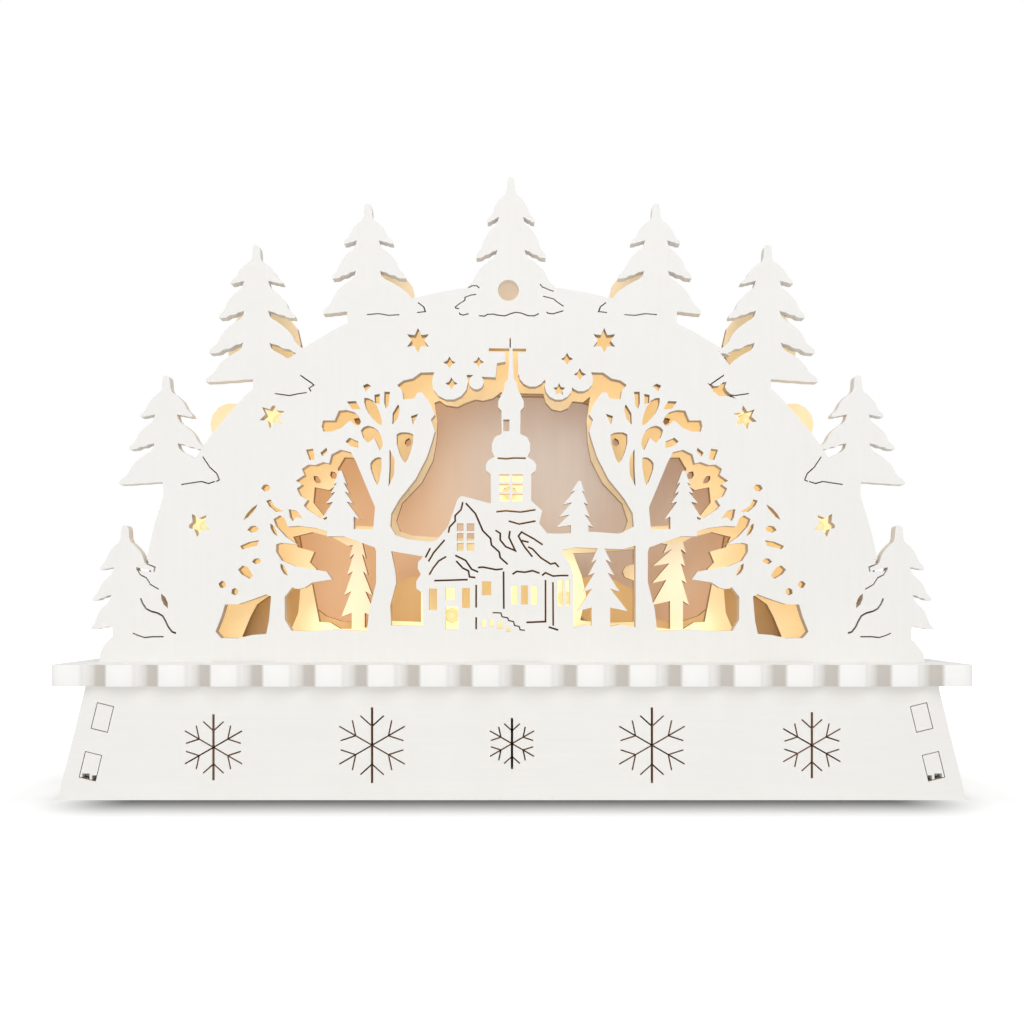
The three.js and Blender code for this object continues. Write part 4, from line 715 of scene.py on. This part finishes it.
def within(tree, centre, half, rim):
    """A soft mask of a rectangle across a plate: its centre and half size in millimetres."""
    spot = axes(tree)
    sides = []
    for axis, middle, reach in (("X", centre[0], half[0]), ("Z", centre[1], half[1])):
        off = number(tree, "ABSOLUTE", number(tree, "SUBTRACT", spot[axis], middle * MM))
        sides.append(ramp(tree, off, (reach + rim) * MM, reach * MM))
    return multiplied(tree, *sides)


def either(tree, masks):
    """The greatest of several masks."""
    most = masks[0]
    for mask in masks[1:]:
        most = number(tree, "MAXIMUM", most, mask)
    return most


def bare_ply(name, node, light, dark, lamps, scorch=0.55, patches=(), sky=None):
    """Bare plywood with scorched, lined walls. Lamps: reach, faint and full glow, then three colours
    for the wood in the warm light, the light it gives back, and that close to an LED. Patches are
    lists of areas with a light of their own, and sky is the middle of an area that is hardly lit."""
    material, tree, shader = new_surface(name)
    low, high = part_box(node)
    reach, faint, full, warm_wood, warm_light, near_light = lamps
    wood = shared(tree, PLYWOOD_GRAIN, {"Light": light, "Dark": dark})
    wall = shared(tree, CUT_WALL, {"Ply Pitch": (high.y - low.y) / 3, "Ply Offset": low.y})
    front = ramp(tree, axes(tree, "Normal")["Y"], -0.3, -0.6)
    glow = shared(tree, LED_GLOW, {"Reach": reach})["Glow"]
    warm = multiplied(tree, ramp(tree, glow, faint, full), front)
    near = multiplied(tree, ramp(tree, glow, 1.0, 1.35), front)
    if sky:
        warm = multiplied(tree, warm, ramp(tree, apart(tree, sky), SKY_DIM, SKY_BRIGHT, 0.3, 1.0))
    tinted = blend_colors(tree, multiplied(tree, warm, 0.8), wood["Color"], warm_wood)
    browned = blend_colors(tree, multiplied(tree, wall["Wall"], scorch), tinted, SCORCHED_PLY)
    given_back = blend_colors(tree, near, blend_colors(tree, warm, BLACK, warm_light), near_light)
    for areas, own_light in patches:
        mask = multiplied(tree, either(tree, [within(tree, *area) for area in areas]), front)
        given_back = blend_colors(tree, mask, given_back, own_light)
    fill(tree, shader, {
        "Base Color": blend_colors(tree, multiplied(tree, wall["Glue Line"], 0.7), browned, GLUE_LINE),
        "Roughness": wood["Roughness"], "Emission Color": given_back, "Emission Strength": 1.0,
        "Normal": bump(tree, wood["Height"], 0.3, 0.10 * MM)})
    return material


# Areas of the plate in millimetres: centre, half size and soft rim
CREST = (-1.0, 148.5, 8.5)
MIDDLE_LOW, MIDDLE_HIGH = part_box("middle_plate")
ground = BOARD_TOP / MM
lit_firs = [((side * 62.5, ground + 30), (9.5, 16), 3) for side in (-1, 1)]
dim_panes = [((across, ground + height), (1.9, 4.6), 0.8)
             for across, height in ((-31.5, 24.5), (-17.9, 24.5), (-10.2, 29.6), (4.6, 26.7))]
crest_area = [((CREST[0], ground + CREST[1]), (CREST[2], CREST[2]), 1)]
lit_ply = bare_ply(
    "lit_plywood", "middle_plate", LIT_PLY_LIGHT, LIT_PLY_DARK,
    (20 * MM, 0.02, 0.50, (0.97, 0.78, 0.48, 1.0), (0.350, 0.245, 0.115, 1.0), (0.58, 0.57, 0.36, 1.0)),
    patches=((lit_firs, CREAM_LIGHT), (dim_panes, DIM_LIGHT), (crest_area, CREST_LIGHT)),
    sky=(0.0, 0.0, BOARD_TOP + 55 * MM))

# Its rim rises to a low crest, which closes the hole in the top fir from behind
lit_fretwork = copy_of_node("middle_plate", "lit_fretwork")
combined(lit_fretwork, round_block(*CREST, KNOT_SIDES, MIDDLE_LOW.y, MIDDLE_HIGH.y), "UNION")
finish_piece(lit_fretwork, "middle_plate", lit_ply)

# Rear scene plate: 4 mm bare plywood with the outline of hills, a darker tan in the half light.
# It stands on the dowels between the middle plate and the back panel, tabbed into the board.
TAN_PLY_LIGHT = (0.800, 0.620, 0.420, 1.0)
TAN_PLY_DARK = (0.740, 0.540, 0.330, 1.0)
dress("rear_scene_plate", bare_ply(
    "tan_plywood", "rear_scene_plate", TAN_PLY_LIGHT, TAN_PLY_DARK,
    (26 * MM, 0.20, 1.30, (0.82, 0.58, 0.33, 1.0), (0.120, 0.065, 0.015, 1.0), (0.24, 0.16, 0.06, 1.0))))

# Back panel: 3 mm plywood without openings, tabbed into the board, which closes the arch behind.
# Its middle is a soft brown-grey, and the light of the LEDs tints it orange towards the ring.
BACK_PLY_LIGHT = (0.755, 0.700, 0.660, 1.0)
BACK_PLY_DARK = (0.705, 0.640, 0.590, 1.0)
BACK_PLY_TINT = (0.765, 0.585, 0.415, 1.0)
BACK_LIGHT_MIDDLE = (0.175, 0.142, 0.124, 1.0)
BACK_LIGHT_RING = (0.340, 0.205, 0.105, 1.0)
BACK_CENTRE = (24.0 * MM, 0.0, BOARD_TOP + 76 * MM)
BACK_TINT_SPAN = (15 * MM, 62 * MM)
BACK_LIGHT_SPAN = (40 * MM, 95 * MM)


def back_ply():
    """Smooth plywood, tinted by its distance from the middle of the sky."""
    material, tree, shader = new_surface("back_plywood")
    wood = shared(tree, PLYWOOD_GRAIN, {"Light": BACK_PLY_LIGHT, "Dark": BACK_PLY_DARK})
    lined = multiplied(tree, shared(tree, CUT_WALL, {"Ply Pitch": 1.0 * MM})["Glue Line"], 0.6)
    away = apart(tree, BACK_CENTRE)
    front = ramp(tree, axes(tree, "Normal")["Y"], -0.4, -0.6)
    warm = multiplied(tree, ramp(tree, away, *BACK_TINT_SPAN), front)
    tinted = blend_colors(tree, warm, wood["Color"], BACK_PLY_TINT)
    lit = blend_colors(tree, ramp(tree, away, *BACK_LIGHT_SPAN), BACK_LIGHT_MIDDLE, BACK_LIGHT_RING)
    fill(tree, shader, {
        "Base Color": blend_colors(tree, lined, tinted, GLUE_LINE), "Roughness": wood["Roughness"],
        "Emission Color": blend_colors(tree, front, BLACK, lit), "Emission Strength": 1.0,
        "Normal": bump(tree, wood["Height"], 0.2, 0.08 * MM)})
    return material


dress("back_panel", back_ply())

# Spacer dowels: sanded beech rods of 6 mm, glued between the front plate and the back panel.
# They pass the two plates between through drilled holes, and keep all four parallel.
SIDEWAYS, LENGTHWISE, UPWARDS = Vector((1, 0, 0)), Vector((0, 1, 0)), Vector((0, 0, 1))


def turned(name, profile, start, axis, steps=40):
    """A round piece: a profile of (radius, distance) spun about an axis from its start."""
    outwards = SIDEWAYS if axis is UPWARDS else UPWARDS
    points = [Vector(start) + axis * distance + outwards * radius for radius, distance in profile]
    piece = traced(points[0], [after - before for before, after in zip(points, points[1:])])
    piece.name = piece.data.name = name
    bpy.ops.mesh.spin(steps=steps, angle=2 * math.pi, center=start, axis=axis)
    bpy.ops.mesh.select_all(action="SELECT")
    bpy.ops.mesh.remove_doubles(threshold=0.004 * MM)
    bpy.ops.mesh.normals_make_consistent(inside=False)
    close_mesh()
    bpy.ops.object.shade_smooth_by_angle(angle=math.radians(35))
    return piece


dowel_wood = bare_ply(
    "dowel_beech", "spacer_dowel_1", (0.76, 0.58, 0.38, 1.0), (0.66, 0.47, 0.28, 1.0),
    (20 * MM, 0.3, 2.0, (0.80, 0.54, 0.26, 1.0), (0.10, 0.05, 0.01, 1.0), (0.2, 0.1, 0.02, 1.0)), 0.0)
for index in range(1, 5):
    low, high, middle = corners(f"spacer_dowel_{index}")
    radius, length = (high.x - low.x) / 2, high.y - low.y
    rod = turned(f"beech_dowel_{index}", [(0, 0), (radius, 0), (radius, length), (0, length)],
                 (middle.x, low.y, middle.z), LENGTHWISE)
    finish_piece(rod, f"spacer_dowel_{index}", dowel_wood)

# LEDs: clear epoxy domes of 5 mm with a flange, pushed through the middle plate from behind.
# The chip glows through the resin, which is palest at the tip and yellow towards the flange.
LED_CORE = (0.80, 0.76, 0.42, 1.0)
LED_RIM = (0.76, 0.58, 0.22, 1.0)
FLANGE_THICKNESS = 1.0 * MM
FLANGE_EASE = 0.15 * MM
DOME_RADIUS = 2.5 * MM
DOME_STEPS = 8


def lit_resin():
    """Epoxy that glows from its axis outwards, with a glossy surface."""
    material, tree, shader = new_surface("lit_resin")
    level = ramp(tree, shared(tree, LED_GLOW, {"Reach": 2.2 * MM})["Glow"], 0.4, 0.95)
    clouded = noise(tree, 700.0, 2.0)
    fill(tree, shader, {
        "Base Color": blend_colors(tree, clouded, (0.22, 0.18, 0.09, 1.0), (0.28, 0.24, 0.13, 1.0)),
        "Roughness": ramp(tree, clouded, 0.3, 0.7, 0.10, 0.16),
        "Emission Color": blend_colors(tree, level, LED_RIM, LED_CORE), "Emission Strength": 1.0})
    return material


led_resin = lit_resin()
for led in LEDS:
    low, high, middle = corners(led)
    flange_radius = (high.x - low.x) / 2 / math.cos(math.pi / 8)
    flange_start = high.y - low.y - FLANGE_THICKNESS
    angles = [math.pi / 2 * step / DOME_STEPS for step in range(DOME_STEPS + 1)]
    dome = [(DOME_RADIUS * math.sin(angle), DOME_RADIUS * (1 - math.cos(angle))) for angle in angles]
    lens = turned(led.replace("led", "led_lens"), dome + [
        (DOME_RADIUS, flange_start), (flange_radius - FLANGE_EASE, flange_start),
        (flange_radius, flange_start + FLANGE_EASE), (flange_radius, flange_start + FLANGE_THICKNESS),
        (0, flange_start + FLANGE_THICKNESS)], (middle.x, low.y, middle.z), LENGTHWISE, 32)
    finish_piece(lens, led, led_resin)

# Leads: thin sleeved wires that pass the backs of the LEDs on their way from the battery box.
# They leave the box at its right end, rise through holes in the board and end at the last LED.


def moulded(name, color, roughness, texture_scale, depth, metallic=0.0):
    """Moulded or rolled surface with a fine even texture and slight changes of gloss."""
    material, tree, shader = new_surface(name)
    fine = noise(tree, texture_scale, 3.0)
    darker = tuple(0.82 * part for part in color[:3]) + (1.0,)
    fill(tree, shader, {
        "Base Color": blend_colors(tree, noise(tree, 60.0, 2.0), darker, color),
        "Roughness": ramp(tree, fine, 0.3, 0.7, roughness - 0.06, roughness + 0.06),
        "Metallic": metallic, "Normal": bump(tree, fine, 0.3, depth)})
    return material


def smooth_lead(node, name):
    """A lead's six-sided tube, rounded."""
    piece = copy_of_node(node, name)
    open_mesh()
    bpy.ops.mesh.tris_convert_to_quads(face_threshold=math.radians(60), shape_threshold=math.radians(60))
    close_mesh()
    modified(piece, "SUBSURF", levels=2)
    bpy.ops.object.shade_smooth()
    return piece


sleeve = moulded("lead_sleeve", (0.80, 0.78, 0.72, 1.0), 0.45, 900.0, 0.03 * MM)
for lead in ("arch_lead", "scene_lead"):
    finish_piece(smooth_lead(lead, f"{lead}_sleeve"), lead, sleeve)

# Battery box: moulded in black plastic, screwed under the board, with a ribbed cover that slides.
# All its edges are a little rounded, as they come out of the mould.
box_plastic = moulded("box_plastic", (0.018, 0.018, 0.020, 1.0), 0.5, 1400.0, 0.06 * MM)
finish_piece(eased("battery_box", "box_moulding", 0.25 * MM), "battery_box", box_plastic)
finish_piece(eased("battery_cover", "cover_moulding", 0.20 * MM), "battery_cover", box_plastic,
             "battery_cover")

# Cells: two AA cans in plain green sleeves, side by side and turned end for end.
# Each sleeve is shrunk over the shoulders of its can and leaves the steel ends bare.
CAN_STEEL = (0.62, 0.62, 0.60, 1.0)
CELL_BUTTON_RADIUS = 2.7 * MM
CELL_BUTTON_LENGTH = 1.2 * MM


def cell_sleeve():
    """A sleeve round the can, which leaves both ends of the cell bare."""
    material, tree, shader = new_surface("cell_sleeve")
    bare = ramp(tree, number(tree, "ABSOLUTE", axes(tree, "Normal")["X"]), 0.70, 0.85)
    scuffs = noise(tree, 300.0, 4.0)
    printed = blend_colors(tree, scuffs, (0.022, 0.060, 0.040, 1.0), (0.030, 0.085, 0.055, 1.0))
    fill(tree, shader, {
        "Base Color": blend_colors(tree, bare, printed, CAN_STEEL), "Metallic": bare,
        "Roughness": ramp(tree, scuffs, 0.3, 0.7, 0.28, 0.38),
        "Normal": bump(tree, scuffs, 0.1, 0.05 * MM)})
    return material


cell_finish = cell_sleeve()
for index, direction in ((1, 1), (2, -1)):
    low, high, middle = corners(f"battery_{index}")
    radius, length = (high.y - low.y) / 2, high.x - low.x
    shoulder = length - CELL_BUTTON_LENGTH
    can = turned(f"cell_can_{index}", [
        (0, 0.25 * MM), (radius - 1.4 * MM, 0.25 * MM), (radius - 1.3 * MM, 0), (radius - 0.5 * MM, 0),
        (radius - 0.12 * MM, 0.15 * MM), (radius, 0.5 * MM), (radius, shoulder - 0.6 * MM),
        (radius - 0.2 * MM, shoulder - 0.2 * MM), (radius - 0.7 * MM, shoulder - 0.05 * MM),
        (radius - 1.2 * MM, shoulder - 0.05 * MM), (radius - 1.4 * MM, shoulder - 0.35 * MM),
        (CELL_BUTTON_RADIUS + 0.1 * MM, shoulder - 0.35 * MM),
        (CELL_BUTTON_RADIUS, shoulder - 0.2 * MM), (CELL_BUTTON_RADIUS, length - 0.3 * MM),
        (CELL_BUTTON_RADIUS - 0.3 * MM, length), (0, length)],
        (low.x if direction > 0 else high.x, middle.y, middle.z), direction * SIDEWAYS, 56)
    finish_piece(can, f"battery_{index}", cell_finish)

# Contacts: nickel plated steel. Flat plates with coiled springs press on the flat ends of the cells.
# The bridge joins the two cells at the left end of the box, the single contacts stand at the right.
SPRING_TURNS = 3
SPRING_STEPS = 20
SPRING_RADIUS = 3.2 * MM
WIRE_RADIUS = 0.35 * MM
CONTACT_THICKNESS = 0.6 * MM
nickel = moulded("nickel_plate", (0.66, 0.65, 0.62, 1.0), 0.3, 700.0, 0.02 * MM, 1.0)


def coil(start, direction, length):
    """A wire wound round a line along X, with capped ends."""
    deselect()
    bpy.ops.mesh.primitive_circle_add(vertices=8, radius=WIRE_RADIUS, fill_type="NOTHING")
    wire = bpy.context.object
    open_mesh()
    bpy.ops.transform.translate(value=(0.0, SPRING_RADIUS, 0.0))
    close_mesh()
    modified(wire, "SCREW", axis="X", screw_offset=length / SPRING_TURNS, iterations=SPRING_TURNS,
             steps=SPRING_STEPS, render_steps=SPRING_STEPS)
    open_mesh()
    bpy.ops.transform.resize(value=(direction, 1.0, 1.0), center_override=(0.0, 0.0, 0.0))
    bpy.ops.transform.translate(value=start)
    bpy.ops.mesh.fill_holes(sides=0)
    bpy.ops.mesh.normals_make_consistent(inside=False)
    close_mesh()
    bpy.ops.object.shade_smooth_by_angle(angle=math.radians(50))
    return wire


def contact(node, name, plate_side, spring_row=None):
    """A stamped plate at one side of the node's box, with a spring in the row of one cell."""
    low, high, middle = corners(node)
    left = low.x if plate_side < 0 else high.x - CONTACT_THICKNESS
    plate = block_at((left + CONTACT_THICKNESS / 2, middle.y, middle.z),
                     (CONTACT_THICKNESS, high.y - low.y, high.z - low.z))
    plate.name = plate.data.name = name
    modified(plate, "BEVEL", width=0.12 * MM, segments=2)
    if spring_row is not None:
        root_x = left if plate_side > 0 else left + CONTACT_THICKNESS
        united([plate, coil((root_x, spring_row, middle.z), -plate_side,
                            high.x - low.x - CONTACT_THICKNESS - WIRE_RADIUS)])
    finish_piece(plate, node, nickel)


contact("contact_bridge", "bridge_contact", -1, corners("battery_1")[2].y)
contact("contact_positive", "plate_contact", 1)
contact("contact_negative", "sprung_contact", 1, corners("battery_2")[2].y)

# Slide switch: a folded steel can that holds a white knob, grooved for a fingertip.
# It sits in a bay of the battery box beside the cells, with its knob facing down.
finish_piece(eased("switch_body", "switch_can", 0.15 * MM), "switch_body", nickel)
knob_plastic = moulded("knob_plastic", (0.78, 0.78, 0.76, 1.0), 0.4, 1200.0, 0.04 * MM)
finish_piece(eased("switch_slider", "switch_knob", 0.12 * MM), "switch_slider", knob_plastic,
             "switch_slider")

# Screws: steel, with pan heads that have a crossed recess.
# They are driven up through the ears of the battery box into the board, and hold the box there.
SCREW_SHANK_RADIUS = 1.3 * MM
HEAD_HEIGHT = 1.6 * MM
THREAD_PITCH = 1.0 * MM
THREAD_DEPTH = 0.3 * MM
RECESS_LENGTH = 2.6 * MM
RECESS_WIDTH = 0.55 * MM
RECESS_DEPTH = 1.0 * MM
for index in (1, 2):
    low, high, middle = corners(f"box_screw_{index}")
    radius, length = (high.x - low.x) / 2, high.z - low.z
    foot = Vector((middle.x, middle.y, low.z))
    profile = [(0, 0), (0.45 * radius, 0.08 * MM), (0.8 * radius, 0.35 * MM), (radius, 0.85 * MM),
               (radius, HEAD_HEIGHT), (SCREW_SHANK_RADIUS, HEAD_HEIGHT)]
    thread = HEAD_HEIGHT + 0.8 * MM
    while thread + THREAD_PITCH < length - 1.2 * MM:
        profile += [(SCREW_SHANK_RADIUS - THREAD_DEPTH, thread),
                    (SCREW_SHANK_RADIUS, thread + THREAD_PITCH / 2)]
        thread += THREAD_PITCH
    profile += [(SCREW_SHANK_RADIUS - THREAD_DEPTH, thread), (0, length)]
    screw = turned(f"pan_head_screw_{index}", profile, foot, UPWARDS, 36)
    for across, along in ((RECESS_LENGTH, RECESS_WIDTH), (RECESS_WIDTH, RECESS_LENGTH)):
        combined(screw, block_at(foot, (across, along, 2 * RECESS_DEPTH)))
    finish_piece(screw, f"box_screw_{index}", nickel)

# Floor and backdrop: a plain white table, with a soft contact shadow of the base painted into its colour for
# the camera.
# It brightens with distance, so that no horizon shows.
FLOOR_HALF = 4.0
FLOOR_WHITE = (0.94, 0.94, 0.94, 1.0)
FLOOR_SHADOW = (0.12, 0.12, 0.12, 1.0)
FULL_WHITE = (1.0, 1.0, 1.0, 1.0)
SHADOW_HALF_SIZE = (141 * MM, 32 * MM, 0.0)
SHADOW_DEEP, SHADOW_GONE = -4 * MM, 41 * MM
BRIGHTENING_START, BRIGHTENING_END = 0.19, 0.32
AMBIENT = 0.61
deselect()
bpy.ops.mesh.primitive_plane_add(size=2 * FLOOR_HALF, location=(0.0, 0.0, 0.0))
floor = bpy.context.object
floor.name = "studio_floor"
studio_white, tree, shader = new_surface("studio_white")
seen = place(tree, "ShaderNodeLightPath").outputs["Is Camera Ray"]
past_base = vector(tree, "SUBTRACT", vector(tree, "ABSOLUTE", here(tree)), SHADOW_HALF_SIZE)
gap = vector(tree, "LENGTH", vector(tree, "MAXIMUM", past_base))
clear = place(tree, "ShaderNodeMapRange", {"Value": gap, "From Min": SHADOW_DEEP, "From Max": SHADOW_GONE},
              interpolation_type="SMOOTHSTEP").outputs["Result"]
# Painted contact shadow: a darker floor colour near the base, seen by the camera only
shaded = multiplied(tree, seen, ramp(tree, clear, 1.0, 0.0))
away = vector(tree, "LENGTH", here(tree))
brightening = ramp(tree, away, BRIGHTENING_START, BRIGHTENING_END, 0.28, 1.0)
fill(tree, shader, {
    "Base Color": blend_colors(tree, shaded, FLOOR_WHITE, FLOOR_SHADOW),
    "Roughness": 0.9, "Specular IOR Level": 0.0,
    "Emission Color": FULL_WHITE, "Emission Strength": multiplied(tree, seen, brightening, clear)})
floor.data.materials.append(studio_white)

world = bpy.data.worlds.new("studio")
bpy.context.scene.world = world
world.use_nodes = True
sky = world.node_tree
ray = place(sky, "ShaderNodeLightPath").outputs
shown = number(sky, "MAXIMUM", ray["Is Camera Ray"], ray["Is Glossy Ray"])
fill(sky, sky.nodes["Background"], {
    "Color": FULL_WHITE, "Strength": ramp(sky, shown, 0.0, 1.0, AMBIENT, 1.0)})

# Studio lights: a broad soft box above and in front, and a weaker, lower one from the other side.
# Both are large, so that firs and scallops cast no hard shadows.


def soft_box(name, position, target, size, power):
    """A square area light that looks at a point."""
    deselect()
    bpy.ops.object.light_add(type="AREA", location=position)
    lamp = bpy.context.object
    lamp.name = name
    lamp.data.size = size
    lamp.data.energy = power
    lamp.rotation_euler = (Vector(target) - Vector(position)).to_track_quat("-Z", "Y").to_euler()


soft_box("key_box", (0.35, -1.40, 1.15), (0.0, 0.0, 0.10), 1.1, 7.2)
soft_box("fill_box", (-0.60, -1.50, 0.35), (0.0, 0.0, 0.06), 1.2, 5.4)

# Camera: level, just above the board, at the photograph's distance.
# Its frame is shifted up, so that the whole arch is in sight and its uprights stay parallel.
CAMERA_PLACE = (0.0, -0.457, 0.0736)
SENSOR_WIDTH = 36.0
FOCAL_LENGTH = 39.83
FRAME_SHIFT = 0.0898
deselect()
bpy.ops.object.camera_add(location=CAMERA_PLACE, rotation=(math.radians(90), 0.0, 0.0))
camera = bpy.context.object
camera.data.sensor_width = SENSOR_WIDTH
camera.data.lens = FOCAL_LENGTH
camera.data.shift_y = FRAME_SHIFT
camera.data.clip_start = 0.01
bpy.context.scene.camera = camera
bpy.context.scene.view_settings.view_transform = "Standard"
